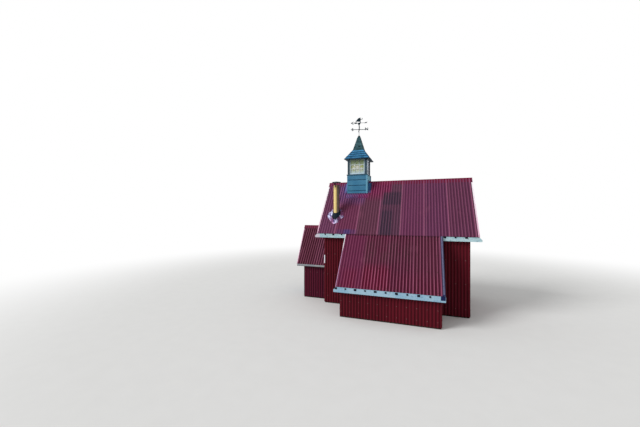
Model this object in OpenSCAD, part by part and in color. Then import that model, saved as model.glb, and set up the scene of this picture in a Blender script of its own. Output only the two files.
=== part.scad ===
// Small corrugated iron hut with a steep roof, a low outshut under a catslide,
// a gabled entrance porch, a stove flue and a glazed cupola with a weathervane.
// The origin is on the ground under the middle of the main ridge.
// X runs along the ridge, the catslide faces -Y, and the porch is at the -X end.

/* [Main room] */
// Length of the room over its wall sheets
room_length = 3880; // [3600:20:4200]
// Depth of the room over its wall sheets
room_depth = 2270; // [2200:10:2340]
// Thickness of a stud wall with its lining
wall_t = 90; // [75:5:110]
// Height of the sheet crests where the two slopes meet
ridge_height = 3660; // [3620:10:3760]
// Pitch of every roof in degrees
roof_pitch = 52; // [51:0.5:53]
// How far the main sheets run past the gable wall
verge_overhang = 190; // [120:10:220]
// How far the fascia stands out from the wall sheets
eaves_overhang = 102; // [90:2:120]

/* [Corrugated sheets] */
// Width of one corrugation
wave_pitch = 76.2; // [70:0.1:80]
// Depth of a corrugation from trough to crest
wave_depth = 18; // [14:1:20]
// Thickness of the iron
sheet_t = 1; // [0.8:0.1:1.5]
// Points that draw one corrugation
wave_steps = 6; // [6:2:10]
// Height of the lower edge of the wall sheets
sheet_foot = 30; // [20:5:60]

/* [Outshut] */
// Width of the catslide roof
catslide_width = 2553; // [2400:1:2600]
// Middle of the outshut along the ridge
outshut_x = 20; // [0:5:60]
// Distance of the catslide fascia in front of the ridge
catslide_reach = 2225; // [2100:5:2260]
// Side overhang of the catslide past its cheek sheets
cheek_overhang = 60; // [40:5:90]

/* [Porch] */
// Length of the porch over its wall sheets
porch_length = 805; // [700:5:900]
// Width of the porch over its wall sheets
porch_width = 1612; // [1500:2:1700]
// Thickness of the porch walls
porch_wall_t = 70; // [60:5:80]
// Height of the sheet crests at the porch ridge
porch_ridge = 2232; // [2200:2:2280]
// Distance of the porch fascia from the ridge line
porch_reach = 900; // [880:2:940]
// How far the porch ridge runs past its gable
porch_prow = 295; // [200:5:320]
// How much less the porch roof overhangs at its eaves
porch_rake = 110; // [0:5:130]
// Width of both doorways
door_w = 620; // [580:10:640]
// Height of the doorway heads
door_head = 1650; // [1550:10:1660]

/* [Fascias] */
// Height of the main fascias
fascia_h = 108; // [80:2:120]
// Height of the catslide fascia
catslide_fascia_h = 130; // [100:5:150]
// Height of the porch fascias
porch_fascia_h = 62; // [50:2:80]
// Thickness of every fascia board
fascia_t = 20; // [16:1:25]
// How far the main fascias run past the verge
fascia_horn = 57; // [20:1:70]
// How far the catslide fascia runs past its sheets on the left
catslide_horn = 60; // [0:5:80]
// Length of the slanting cut at the upper corner of a fascia's end
horn_cut = 84; // [40:2:110]

/* [Cupola] */
// Middle of the cupola along the ridge
cupola_x = -1134; // [-1200:2:-1000]
// Width of the boarded base
cupola_w = 630; // [600:10:660]
// Height of the top of the boarded base
base_top = 3850; // [3800:10:3900]
// Height of the glazed stage
lantern_h = 462; // [420:2:500]
// Width over the cupola eaves
cupola_eaves = 784; // [740:2:800]
// Width of the roof at the knee
knee_w = 326; // [300:2:360]
// Height of the knee
knee_z = 4665; // [4630:5:4700]
// Height of the top of the slates
spire_tip = 5120; // [5080:5:5160]

/* [Weathervane] */
// Diameter of the spindle
spindle_d = 12; // [10:1:14]
// Height of the compass arms
compass_z = 5366; // [5340:1:5400]
// Length of one compass arm from the spindle
compass_arm = 270; // [240:5:290]
// Height of the arrow
arrow_z = 5580; // [5560:2:5620]
// Length of the arrow over its head and tail
arrow_l = 544; // [480:4:560]
// Angle between the ridge and the arms that point north and south
compass_turn = 16; // [0:1:45]
// Angle between the ridge and the arrow at rest
arrow_turn = 13; // [0:1:45]

/* [Flue] */
// Position of the flue along the ridge
flue_x = -1654; // [-1690:1:-1640]
// Distance of the flue in front of the ridge
flue_y = 827; // [815:1:840]
// Outer diameter of the pipe
flue_d = 188; // [150:2:196]
// Height of the top of the pipe
flue_top = 3492; // [3400:2:3600]
// Diameter of the rain cap
cap_d = 268; // [250:2:300]

/* [Hidden] */

slope = tan(roof_pitch);
run = cos(roof_pitch);
sheet_h = wave_depth + sheet_t;
bearer_h = 100;
bearer_w = 75;
deck_t = 22;
floor_z = bearer_h + deck_t;
purlin = 45;
rafter_w = 45;
rafter_d = 95;
porch_rafter_d = 70;
rafter_xs = [-1500 : 500 : 1500];
outshut_rafter_xs = [-955 : 500 : 1045];
purlin_runs = [90, 560, 1020, 1560, 1920];
outshut_purlin_runs = [2110, 2560, 3010, 3530];
gap = 2;
// Play between a wall head and the timbers that it carries
seat = 0.5;

wall_x = room_length / 2 - sheet_h;
wall_y = room_depth / 2 - sheet_h;
verge_x = room_length / 2 + verge_overhang;
fascia_y = room_depth / 2 + eaves_overhang;

// Heights at the ridge of the planes that lie under one another
function drop(depth) = depth / run;
under_sheets = ridge_height - drop(sheet_h);
under_purlins = under_sheets - drop(purlin);
under_rafters = under_purlins - drop(rafter_d);
porch_under_sheets = porch_ridge - drop(sheet_h);
porch_under_purlins = porch_under_sheets - drop(purlin);
porch_under_rafters = porch_under_purlins - drop(porch_rafter_d);
function plane(top, y) = top - slope * abs(y);

catslide_left = outshut_x - catslide_width / 2;
catslide_right = outshut_x + catslide_width / 2;
cheek_out = catslide_width / 2 - cheek_overhang - sheet_h;
cheek_in = cheek_out - wall_t;
outshut_y = catslide_reach - eaves_overhang - sheet_h;

porch_x = -room_length / 2 - porch_length + sheet_h;
porch_y = porch_width / 2 - sheet_h;
porch_tip = -room_length / 2 - porch_length - porch_prow;
porch_join = -room_length / 2 - gap;

rust_red = [0.40, 0.18, 0.28];
wall_red = [0.29, 0.06, 0.11];
pale_blue = [0.61, 0.71, 0.75];
board_blue = [0.26, 0.46, 0.58];
slate_blue = [0.24, 0.36, 0.38];
timber = [0.66, 0.52, 0.36];

// An outline in the YZ plane drawn out along X
module along_x(x0, x1) {
  translate([x0, 0, 0]) rotate([90, 0, 90]) linear_extrude(x1 - x0) children();
}

// A box between two corners
module block(low, high) {
  translate(low) cube(high - low);
}

// Puts X across the slope, Y out of the roof and Z down the slope from a ridge
module on_slope(top) {
  translate([0, 0, top]) rotate([90 + roof_pitch, 0, 0]) children();
}

// Outline of corrugated iron with crests and troughs set from x = 0
function wave(x) = wave_depth / 2 * (1 + cos(360 * x / wave_pitch));
function wave_line(x0, x1) =
  let (step = wave_pitch / wave_steps, first = ceil(x0 / step), last = floor(x1 / step))
  [x0, for (i = [first : last]) if (i * step > x0 + 1 && i * step < x1 - 1) i * step, x1];
module sheet_outline(x0, x1) {
  xs = wave_line(x0, x1);
  n = len(xs);
  polygon([
    for (x = xs) [x, wave(x)],
    for (i = [n - 1 : -1 : 0]) [xs[i], wave(xs[i]) + sheet_t]
  ]);
}

// Roof sheets between two runs down the slope
module slope_sheets(top, x0, x1, s0, s1) {
  on_slope(top) translate([0, 0, s0]) linear_extrude(s1 - s0) sheet_outline(x0, x1);
}

// Upright wall sheets that face -Y, with their back on the plane y = 0
module wall_sheets(x0, x1, z0, z1) {
  translate([0, 0, z0]) linear_extrude(z1 - z0) mirror([0, 1, 0]) sheet_outline(x0, x1);
}

// Wall slab along X whose top is cut to a roof plane
module long_wall(x0, x1, y_out, y_in, top) {
  along_x(x0, x1) polygon([
    [y_out, floor_z], [y_in, floor_z],
    [y_in, plane(top - seat, y_in)], [y_out, plane(top - seat, y_out)]
  ]);
}

// Gable outline from the floor up to a roof plane
module gable_outline(y0, y1, foot, top) {
  ridge_point = y0 < 0 && y1 > 0 ? [[0, top]] : [];
  polygon(concat(
    [[y0, foot], [y1, foot], [y1, plane(top, y1)]],
    ridge_point,
    [[y0, plane(top, y0)]]
  ));
}

// A row of bearers that lie on the ground under one floor
module bearer_row(x0, x1, y0, y1, bays) {
  for (i = [0 : bays]) {
    y = y0 + (y1 - y0 - bearer_w) * i / bays;
    block([x0, y, 0], [x1, y + bearer_w, bearer_h]);
  }
}

module floor_bearers() {
  color(timber) {
    bearer_row(-wall_x, wall_x, -wall_y, wall_y, 4);
    bearer_row(outshut_x - cheek_out, outshut_x + cheek_out, -outshut_y, -wall_y - gap, 2);
    bearer_row(porch_x, -wall_x - gap, -porch_y, porch_y, 3);
  }
}

module floor_deck() {
  color(timber) {
    block([-wall_x, -wall_y, bearer_h], [wall_x, wall_y, floor_z]);
    block(
      [outshut_x - cheek_out, -outshut_y, bearer_h],
      [outshut_x + cheek_out, -wall_y - gap, floor_z]
    );
    block([porch_x, -porch_y, bearer_h], [-wall_x - gap, porch_y, floor_z]);
  }
}

module front_wall_left() {
  color(timber)
    long_wall(-wall_x + wall_t, outshut_x - cheek_in, -wall_y, -wall_y + wall_t, under_rafters);
}

module front_wall_right() {
  color(timber)
    long_wall(outshut_x + cheek_in, wall_x - wall_t, -wall_y, -wall_y + wall_t, under_rafters);
}

module back_wall() {
  color(timber)
    long_wall(-wall_x + wall_t, wall_x - wall_t, wall_y - wall_t, wall_y, under_rafters);
}

module right_gable_wall() {
  color(timber)
    along_x(wall_x - wall_t, wall_x) gable_outline(-wall_y, wall_y, floor_z, under_purlins - seat);
}

// The left gable stands in three parts round the doorway to the porch
module left_gable_part(y0, y1, foot) {
  color(timber)
    along_x(-wall_x, -wall_x + wall_t) gable_outline(y0, y1, foot, under_purlins - seat);
}

module left_gable_front() {
  left_gable_part(-wall_y, -door_w / 2, floor_z);
}

module left_gable_back() {
  left_gable_part(door_w / 2, wall_y, floor_z);
}

module left_gable_top() {
  left_gable_part(-door_w / 2, door_w / 2, door_head);
}

// Beam that carries the rafters where the room opens into the outshut
module eaves_beam() {
  foot = 1780;
  color(timber) along_x(outshut_x - cheek_in, outshut_x + cheek_in) polygon([
    [-wall_y, foot], [-wall_y + wall_t, foot],
    [-wall_y + wall_t, plane(under_rafters - seat, wall_y - wall_t)],
    [-wall_y, plane(under_rafters - seat, wall_y)]
  ]);
}

module outshut_front_wall() {
  color(timber) long_wall(
    outshut_x - cheek_in, outshut_x + cheek_in, -outshut_y, -outshut_y + wall_t, under_rafters
  );
}

module outshut_cheeks() {
  color(timber) for (x = [outshut_x - cheek_out, outshut_x + cheek_in])
    along_x(x, x + wall_t) gable_outline(-outshut_y, -wall_y, floor_z, under_purlins - seat);
}

module porch_side_walls() {
  color(timber) for (side = [0, 1]) mirror([0, side, 0]) long_wall(
    porch_x + porch_wall_t, -wall_x, -porch_y, -porch_y + porch_wall_t, porch_under_rafters
  );
}

module porch_gable_wall() {
  color(timber) difference() {
    along_x(porch_x, porch_x + porch_wall_t)
      gable_outline(-porch_y, porch_y, floor_z, porch_under_purlins - seat);
    block([porch_x - 1, -door_w / 2, floor_z - 1], [porch_x + porch_wall_t + 1, door_w / 2, door_head]);
  }
}

jamb = 32;
door_t = 40;
door_gap = 3;

module porch_door_frame() {
  color(pale_blue) difference() {
    block([porch_x - sheet_h, -door_w / 2, floor_z], [porch_x + porch_wall_t, door_w / 2, door_head]);
    block(
      [porch_x - sheet_h - 1, -door_w / 2 + jamb, floor_z - 1],
      [porch_x + porch_wall_t + 1, door_w / 2 - jamb, door_head - jamb]
    );
  }
}

// Boarded door, closed in its frame, with two ledges on its inner face
module porch_door() {
  half = door_w / 2 - jamb - door_gap;
  boards = 5;
  board_w = 2 * half / boards;
  groove = 4;
  face = porch_x - 6;
  ledge_h = 110;
  color(board_blue) difference() {
    union() {
      block([face, -half, floor_z + door_gap], [face + 24, half, door_head - jamb - door_gap]);
      for (z = [floor_z + 180, door_head - jamb - 300])
        block([face + 24, -half + 20, z], [face + door_t, half - 20, z + ledge_h]);
    }
    for (i = [1 : boards - 1])
      block(
        [face - 1, -half + i * board_w - groove / 2, floor_z],
        [face + groove, -half + i * board_w + groove / 2, door_head]
      );
  }
}

module ridge_board() {
  color(timber) block(
    [-wall_x + wall_t, -16, under_rafters - 60], [wall_x - wall_t, 16, under_purlins - 20]
  );
}

// Rafters with the purlins that they carry, cut plumb at both ends
// and level with the foot of the fascia
module roof_frame(top, x_rafters, depth, x0, x1, runs, y_low, y_high, reach, foot) {
  intersection() {
    on_slope(top) {
      for (x = x_rafters)
        translate([x - rafter_w / 2, -purlin - depth, 0]) cube([rafter_w, depth, reach]);
      for (s = runs)
        translate([x0, -purlin, s]) cube([x1 - x0, purlin, purlin]);
    }
    block([x0 - 1, y_low, foot], [x1 + 1, y_high, ridge_height]);
  }
}

function fascia_foot(top, reach, height) = plane(top, reach) - height;

module roof_frame_front() {
  color(timber) roof_frame(
    under_sheets, rafter_xs, rafter_d, -verge_x + 20, verge_x - 20, purlin_runs,
    -fascia_y + fascia_t, -16, 2300, fascia_foot(under_sheets, fascia_y, fascia_h)
  );
}

module roof_frame_back() {
  mirror([0, 1, 0]) roof_frame_front();
}

module outshut_roof_frame() {
  color(timber) roof_frame(
    under_sheets, outshut_rafter_xs, rafter_d, catslide_left + 10, catslide_right - 10,
    outshut_purlin_runs, -catslide_reach + fascia_t, -wall_y + wall_t, 3900,
    fascia_foot(under_sheets, catslide_reach, catslide_fascia_h)
  );
}

module porch_roof_frame() {
  xs = [porch_x + 210, porch_x + 560];
  runs = [40, 700, 1390];
  for (side = [0, 1]) mirror([0, side, 0]) color(timber) roof_frame(
    porch_under_sheets, xs, porch_rafter_d, porch_tip + porch_rake + 30, porch_join,
    runs, -porch_reach + fascia_t, -gap, 1700,
    fascia_foot(porch_under_sheets, porch_reach, porch_fascia_h)
  );
}

// Sheets on the long walls run up to the rafters, behind the fascias
long_sheet_top = plane(under_rafters, room_depth / 2) - gap;

module front_wall_sheets() {
  side = cheek_out + sheet_h + gap;
  color(wall_red) translate([0, -wall_y, 0]) {
    wall_sheets(-room_length / 2, outshut_x - side, sheet_foot, long_sheet_top);
    wall_sheets(outshut_x + side, room_length / 2, sheet_foot, long_sheet_top);
  }
}

module back_wall_sheets() {
  color(wall_red) mirror([0, 1, 0]) translate([0, -wall_y, 0])
    wall_sheets(-room_length / 2, room_length / 2, sheet_foot, long_sheet_top);
}

// Sheets that face +X, drawn over a span of Y and cut to an outline
module gable_sheets(x, y0, y1, foot, top) {
  intersection() {
    translate([x, 0, 0]) rotate([0, 0, 90]) wall_sheets(y0, y1, foot, top);
    along_x(x - 1, x + sheet_h + 1) gable_outline(y0, y1, foot, top);
  }
}

module right_gable_sheets() {
  color(wall_red) gable_sheets(wall_x, -wall_y, wall_y, sheet_foot, under_purlins);
}

// The left gable is sheeted round the porch
module left_gable_sheets() {
  color(wall_red) difference() {
    mirror([1, 0, 0]) gable_sheets(wall_x, -wall_y, wall_y, sheet_foot, under_purlins);
    along_x(-wall_x - sheet_h - 1, -wall_x + 1) polygon([
      [-porch_y - sheet_h - gap, 0], [porch_y + sheet_h + gap, 0],
      [porch_y + sheet_h + gap, plane(porch_ridge + 8, porch_y + sheet_h + gap)],
      [0, porch_ridge + 8],
      [-porch_y - sheet_h - gap, plane(porch_ridge + 8, porch_y + sheet_h + gap)]
    ]);
  }
}

module outshut_wall_sheets() {
  front_top = plane(under_rafters, outshut_y + sheet_h) - gap;
  color(wall_red) {
    translate([0, -outshut_y, 0])
      wall_sheets(outshut_x - cheek_out, outshut_x + cheek_out, sheet_foot, front_top);
    for (side = [0, 1]) translate([outshut_x, 0, 0]) mirror([side, 0, 0])
      gable_sheets(cheek_out, -outshut_y, -wall_y - gap, sheet_foot, under_purlins);
  }
}

module porch_wall_sheets() {
  side_top = plane(porch_under_rafters, porch_width / 2) - gap;
  color(wall_red) {
    for (side = [0, 1]) mirror([0, side, 0]) translate([0, -porch_y, 0])
      wall_sheets(porch_x, porch_join, sheet_foot, side_top);
    difference() {
      mirror([1, 0, 0]) gable_sheets(-porch_x, -porch_y, porch_y, sheet_foot, porch_under_purlins);
      block([porch_x - sheet_h - 1, -door_w / 2, floor_z], [porch_x + 1, door_w / 2, door_head]);
    }
  }
}

main_run = fascia_y / run;

module flue_hole(radius) {
  translate([flue_x, -flue_y, 2000]) cylinder(h = 1200, r = radius, $fn = 48);
}

module roof_sheets_front() {
  color(rust_red) difference() {
    slope_sheets(under_sheets, -verge_x, verge_x, 12, main_run);
    flue_hole(flue_d / 2 + 4);
  }
}

module roof_sheets_back() {
  color(rust_red) mirror([0, 1, 0]) slope_sheets(under_sheets, -verge_x, verge_x, 12, main_run);
}

// The catslide sheets start at the ends of the upper ones
module catslide_sheets() {
  color(rust_red) slope_sheets(
    under_sheets, catslide_left, catslide_right, main_run + gap, catslide_reach / run
  );
}

// Porch sheets, cut back from the ridge end to the eaves
module porch_roof_sheets() {
  color(rust_red) for (side = [0, 1]) mirror([0, side, 0]) difference() {
    slope_sheets(porch_under_sheets, porch_tip, porch_join, 12, porch_reach / run);
    translate([0, 0, 500]) linear_extrude(2000) polygon([
      [porch_tip - 20, 20], [porch_tip, 20], [porch_tip, 0],
      [porch_tip + porch_rake, -porch_reach], [porch_tip + porch_rake, -porch_reach - 40],
      [porch_tip - 20, -porch_reach - 40]
    ]);
  }
}

// Folded ridge capping that lies on the crests of both slopes, with a rolled top
module capping(x0, x1, top, wing, thick) {
  roll_r = 13;
  y1 = wing * run;
  y2 = y1 + thick * sin(roof_pitch);
  along_x(x0, x1) {
    polygon([
      [0, top + drop(thick)], [y2, plane(top + drop(thick), y2)], [y1, plane(top, y1)],
      [0, top], [-y1, plane(top, y1)], [-y2, plane(top + drop(thick), y2)]
    ]);
    translate([0, top + roll_r]) circle(r = roll_r, $fn = 32);
  }
}

cupola_left = cupola_x - cupola_w / 2;
cupola_right = cupola_x + cupola_w / 2;

module ridge_caps() {
  wing = 150;
  porch_wing = 110;
  iron = 2;
  color(rust_red) {
    capping(-verge_x - 8, cupola_left - gap, ridge_height, wing, iron);
    capping(cupola_right + gap, verge_x + 8, ridge_height, wing, iron);
    capping(porch_tip - 6, porch_join, porch_ridge, porch_wing, iron);
  }
}

// Fascia board whose top edge is bevelled to lie under the sheets
module fascia(x0, x1, reach, height, top) {
  back = reach - fascia_t;
  foot = plane(top, reach) - height;
  along_x(x0, x1) polygon([
    [-reach, foot], [-back, foot], [-back, plane(top, back)], [-reach, plane(top, reach)]
  ]);
}

// Wedge that takes off the upper corner where a fascia ends at x0
module horn_wedge(x0, reach, height, top) {
  upright = 0.45 * height;
  foot = plane(top, reach) - height;
  head = plane(top, reach - fascia_t) + 1;
  translate([0, -reach + fascia_t + 1, 0]) rotate([90, 0, 0]) linear_extrude(fascia_t + 2)
    polygon([[x0 - 1, foot + upright], [x0 - 1, head], [x0 + horn_cut, head]]);
}

fascia_tip = verge_x + fascia_horn;

// The main fascias end in slanting cuts past both verges
module main_fascia() {
  difference() {
    fascia(-fascia_tip, fascia_tip, fascia_y, fascia_h, under_sheets);
    for (end = [0, 1]) mirror([end, 0, 0])
      horn_wedge(-fascia_tip, fascia_y, fascia_h, under_sheets);
  }
}

module front_fascias() {
  trim_room = 6;
  color(pale_blue) difference() {
    main_fascia();
    block(
      [catslide_left - trim_room, -fascia_y - 1, 1500],
      [catslide_right + trim_room, -fascia_y + fascia_t + 1, 3000]
    );
  }
}

module back_fascia() {
  color(pale_blue) mirror([0, 1, 0]) main_fascia();
}

module catslide_fascia() {
  x0 = catslide_left - catslide_horn;
  color(pale_blue) difference() {
    fascia(x0, catslide_right + 8, catslide_reach, catslide_fascia_h, under_sheets);
    horn_wedge(x0, catslide_reach, catslide_fascia_h, under_sheets);
  }
}

module porch_fascias() {
  color(pale_blue) for (side = [0, 1]) mirror([0, side, 0])
    fascia(porch_tip + porch_rake, porch_join, porch_reach, porch_fascia_h, porch_under_sheets);
}

// Profile of a folded trim over the edge of the sheets at x, and how far it hangs below them
module trim_profile(x, wing, hang) {
  polygon([
    [x - 4, -hang], [x - 1, -hang], [x - 1, sheet_h],
    [x + wing, sheet_h], [x + wing, sheet_h + 2], [x - 4, sheet_h + 2]
  ]);
}

// Trim from one run down the slope to another, which hangs down only as far as the fascia
module verge_trim(top, x, s0, s_apron, s1, wing) {
  on_slope(top) {
    translate([0, 0, s0]) linear_extrude(s_apron - s0) trim_profile(x, wing, 26);
    translate([0, 0, s_apron - 1]) linear_extrude(s1 - s_apron + 1) trim_profile(x, wing, -1);
  }
}

// The right verge of the catslide has a wide rolled flashing
module catslide_verge_trims() {
  roll_r = 12;
  end_run = catslide_reach / run;
  apron_run = (catslide_reach - fascia_t) / run;
  color(pale_blue)
    verge_trim(under_sheets, catslide_left, main_run + 4, apron_run, end_run, 16);
  color(slate_blue) {
    mirror([1, 0, 0])
      verge_trim(under_sheets, -catslide_right, main_run + 4, apron_run, end_run, 62);
    on_slope(under_sheets) translate([catslide_right - 14, sheet_h + roll_r - 1, main_run + 4])
      cylinder(h = end_run - main_run - 4, r = roll_r, $fn = 24);
  }
}

// The porch trims run back from the ridge end to the eaves
module verge_trims() {
  first = 155;
  porch_run = porch_reach / run;
  lean = atan(porch_rake / porch_run);
  main_apron = (fascia_y - fascia_t - gap) / run;
  color(pale_blue) for (side = [0, 1]) mirror([0, side, 0]) {
    for (end = [0, 1]) mirror([end, 0, 0])
      verge_trim(under_sheets, -verge_x, first, main_apron, main_run, 30);
    on_slope(porch_under_sheets) translate([porch_tip, 0, 0]) rotate([0, lean, 0])
      translate([0, 0, first]) linear_extrude(porch_run / cos(lean) - first - 4)
        trim_profile(-2, 18, -1);
  }
}

roof_at_flue = plane(ridge_height, flue_y);

module flue_pipe() {
  color("silver") translate([flue_x, -flue_y, roof_at_flue - 220]) difference() {
    cylinder(h = flue_top - roof_at_flue + 220, d = flue_d, $fn = 64);
    translate([0, 0, -1]) cylinder(h = 2000, d = flue_d - 6, $fn = 64);
  }
}

// Shallow rain cap on three straps above the mouth of the pipe
module flue_cowl() {
  cap_z = flue_top + 98;
  strap_x = flue_d / 2;
  color([0.2, 0.19, 0.18]) translate([flue_x, -flue_y, 0]) {
    translate([0, 0, cap_z]) rotate_extrude($fn = 64) polygon([
      [0, 0], [cap_d / 2, -12], [cap_d / 2, -4], [20, 22], [0, 24]
    ]);
    for (a = [30 : 120 : 270]) rotate([0, 0, a])
      block([strap_x, -12, flue_top - 70], [strap_x + 3, 12, cap_z - 6]);
  }
}

// Rubber boot: a round base on the slope and a cone that grips the pipe
module flue_boot() {
  base_r = 146;
  grip = roof_at_flue + 105;
  pipe_r = flue_d / 2;
  color([0.1, 0.1, 0.1]) difference() {
    union() {
      on_slope(ridge_height) translate([flue_x, 3, flue_y / run]) rotate([-90, 0, 0])
        cylinder(h = 6, r = base_r, $fn = 64);
      intersection() {
        translate([flue_x, -flue_y, roof_at_flue]) rotate_extrude($fn = 64) polygon([
          [0, -220], [pipe_r + 44, -220], [pipe_r + 30, -30], [pipe_r + 6, 70],
          [pipe_r + 6, grip - roof_at_flue], [0, grip - roof_at_flue]
        ]);
        on_slope(ridge_height) translate([flue_x - base_r, 3, 600])
          cube([2 * base_r, 900, 2000]);
      }
    }
    flue_hole(pipe_r);
  }
}

// Soft metal flashing dressed over the crests round the boot
module flue_flashing() {
  width = 546;
  height = 540;
  color([0.6, 0.62, 0.7]) difference() {
    on_slope(ridge_height) translate([flue_x - width / 2, 0, flue_y / run - height / 2 + 40])
      cube([width, 3, height]);
    flue_hole(flue_d / 2 + 2);
  }
}

// Apron flashings below the front and back of the cupola
module cupola_flashing() {
  half = cupola_w / 2;
  apron = 150;
  color(rust_red) for (side = [0, 1]) mirror([0, side, 0]) difference() {
    union() {
      on_slope(ridge_height)
        translate([cupola_left - 30, 0, half / run - 20]) cube([cupola_w + 60, 2, apron + 20]);
      block(
        [cupola_left - 3, -half - 3, plane(ridge_height, half)],
        [cupola_right + 3, -half, plane(ridge_height, half) + 40]
      );
    }
    block([cupola_left - 40, -half, 3000], [cupola_right + 40, 0, 4000]);
  }
}

// Centres its children on the cupola's axis
module at_cupola() {
  translate([cupola_x, 0, 0]) children();
}

board_t = 22;
corner_w = 46;
board_pitch = 170;

// Boarded box that stands astride the ridge, with lapped boards and corner posts
module cupola_base() {
  half = cupola_w / 2;
  lap = 6;
  color(board_blue) at_cupola() difference() {
    union() {
      for (z = [base_top - board_pitch : -board_pitch : base_top - 5 * board_pitch])
        block([-half + lap, -half + lap, z], [half - lap, half - lap, z + board_pitch]);
      for (z = [base_top - board_pitch : -board_pitch : base_top - 5 * board_pitch])
        block([-half + 1, -half + 1, z + 8], [half - 1, half - 1, z + board_pitch]);
      for (x = [-half, half - corner_w], y = [-half, half - corner_w])
        translate([x, y, 2900]) cube([corner_w, corner_w, base_top - 2900]);
    }
    translate([0, 0, 2000]) linear_extrude(3000) square(cupola_w - 2 * board_t - 2 * lap, center = true);
    along_x(-half - 1, half + 1) polygon([
      [-half - 1, 2000], [half + 1, 2000], [half + 1, plane(ridge_height, half + 1)],
      [0, ridge_height], [-half - 1, plane(ridge_height, half + 1)]
    ]);
  }
}

sill_h = 31;
lantern_z = base_top + sill_h;
lantern_top = lantern_z + lantern_h;
post_half = 305;
post_w = 60;

// Sill with a weathered top, as two crossed prisms with a square well
module cupola_sill() {
  out = cupola_w / 2 + 18;
  drip = 10;
  outline = [
    [-out, base_top], [out, base_top], [out, base_top + sill_h - drip],
    [post_half, lantern_z], [-post_half, lantern_z], [-out, base_top + sill_h - drip]
  ];
  color(slate_blue) at_cupola() difference() {
    intersection() {
      along_x(-out, out) polygon(outline);
      rotate([0, 0, 90]) along_x(-out, out) polygon(outline);
    }
    block([-240, -240, base_top - 1], [240, 240, lantern_z + 1]);
  }
}

module cupola_posts() {
  near = post_half - post_w;
  color(slate_blue) at_cupola() for (x = [-post_half, near], y = [-post_half, near])
    block([x, y, lantern_z], [x + post_w, y + post_w, lantern_top]);
}

frame_half = post_half - post_w;
frame_w = 34;
frame_t = 30;
frame_set = 12;

// Four glazed frames between the posts, each with a cross of bars
module cupola_window_frames() {
  bar = 14;
  bar_t = 16;
  inner = frame_half - frame_w;
  mid_z = (lantern_z + lantern_top) / 2;
  face = -post_half + frame_set;
  color("white") at_cupola() for (a = [0 : 90 : 270]) rotate([0, 0, a]) {
    difference() {
      block([-frame_half, face, lantern_z], [frame_half, face + frame_t, lantern_top]);
      block(
        [-inner, face - 1, lantern_z + frame_w],
        [inner, face + frame_t + 1, lantern_top - frame_w]
      );
    }
    for (x = [-inner / 3, inner / 3])
      block(
        [x - bar / 2, face + 2, lantern_z + frame_w],
        [x + bar / 2, face + bar_t, lantern_top - frame_w]
      );
    for (z = [-1, 1] * (lantern_h / 2 - frame_w) / 3)
      block([-inner, face + 2, mid_z + z - bar / 2], [inner, face + bar_t, mid_z + z + bar / 2]);
  }
}

module cupola_glass() {
  inner = frame_half - frame_w;
  face = -post_half + frame_set + 18;
  color([0.7, 0.8, 0.8, 0.4]) at_cupola() for (a = [0 : 90 : 270]) rotate([0, 0, a])
    block([-inner, face, lantern_z + frame_w], [inner, face + 4, lantern_top - frame_w]);
}

soffit_t = 16;

module cupola_soffit() {
  half = cupola_eaves / 2 - 12;
  color(slate_blue) at_cupola()
    block([-half, -half, lantern_top], [half, half, lantern_top + soffit_t]);
}

// Profile of a square roof laid in courses: half widths that step out at each butt
function course_line(w0, w1, z0, z1, count, butt, sag) = [
  for (i = [0 : count - 1], end = [0, 1])
    let (
      t = (i + end) / count,
      w = w0 + (w1 - w0) * t - sag * sin(180 * t)
    )
    [w + (end == 0 ? butt : 0), z0 + (z1 - z0) * t]
];

// Square roof from a half profile, as two crossed prisms
module square_roof(line) {
  reach = 600;
  n = len(line);
  outline = concat(line, [for (i = [n - 1 : -1 : 0]) [-line[i][0], line[i][1]]]);
  intersection() {
    along_x(-reach, reach) polygon(outline);
    rotate([0, 0, 90]) along_x(-reach, reach) polygon(outline);
  }
}

eaves_z = lantern_top + soffit_t;
skin_t = 22;

module cupola_skirt() {
  courses = 4;
  color(board_blue) at_cupola() difference() {
    square_roof(course_line(cupola_eaves / 2 - 8, knee_w / 2, eaves_z, knee_z, courses, 8, 0));
    square_roof([
      [cupola_eaves / 2 - skin_t - 26, eaves_z - 1], [knee_w / 2 - skin_t - 14, knee_z + 1]
    ]);
  }
}

cap_h = 48;

// Slated spire with a lead cap on its cut top
module cupola_spire() {
  courses = 9;
  tip_half = 34;
  color(slate_blue) at_cupola() {
    difference() {
      square_roof(course_line(knee_w / 2, tip_half, knee_z, spire_tip, courses, 5, 0));
      square_roof([[knee_w / 2 - skin_t - 4, knee_z - 1], [6, spire_tip - 40]]);
    }
    translate([0, 0, spire_tip]) rotate_extrude($fn = 32)
      polygon([[0, 0], [44, 0], [44, 6], [34, 12], [31, 36], [18, 45], [spindle_d / 2, cap_h], [0, cap_h]]);
  }
}

spindle_top = arrow_z - 28;

// Fixed spindle on the spire with four compass arms in a boss
module compass_arms() {
  boss_h = 56;
  boss_r = 17;
  arm_r = 9;
  foot = spire_tip + cap_h;
  color([0.1, 0.12, 0.12]) at_cupola() {
    translate([0, 0, foot]) cylinder(h = spindle_top - foot, d = spindle_d, $fn = 32);
    translate([0, 0, compass_z - boss_h / 2]) cylinder(h = boss_h, r = boss_r, $fn = 32);
    translate([0, 0, compass_z]) for (a = [0 : 90 : 270]) rotate([0, 90, a + compass_turn])
      cylinder(h = compass_arm, r = arm_r, $fn = 24);
  }
}

function arc_points(cx, cy, r, a0, a1, n) =
  [for (i = [0 : n]) [cx + r * cos(a0 + (a1 - a0) * i / n), cy + r * sin(a0 + (a1 - a0) * i / n)]];

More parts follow.
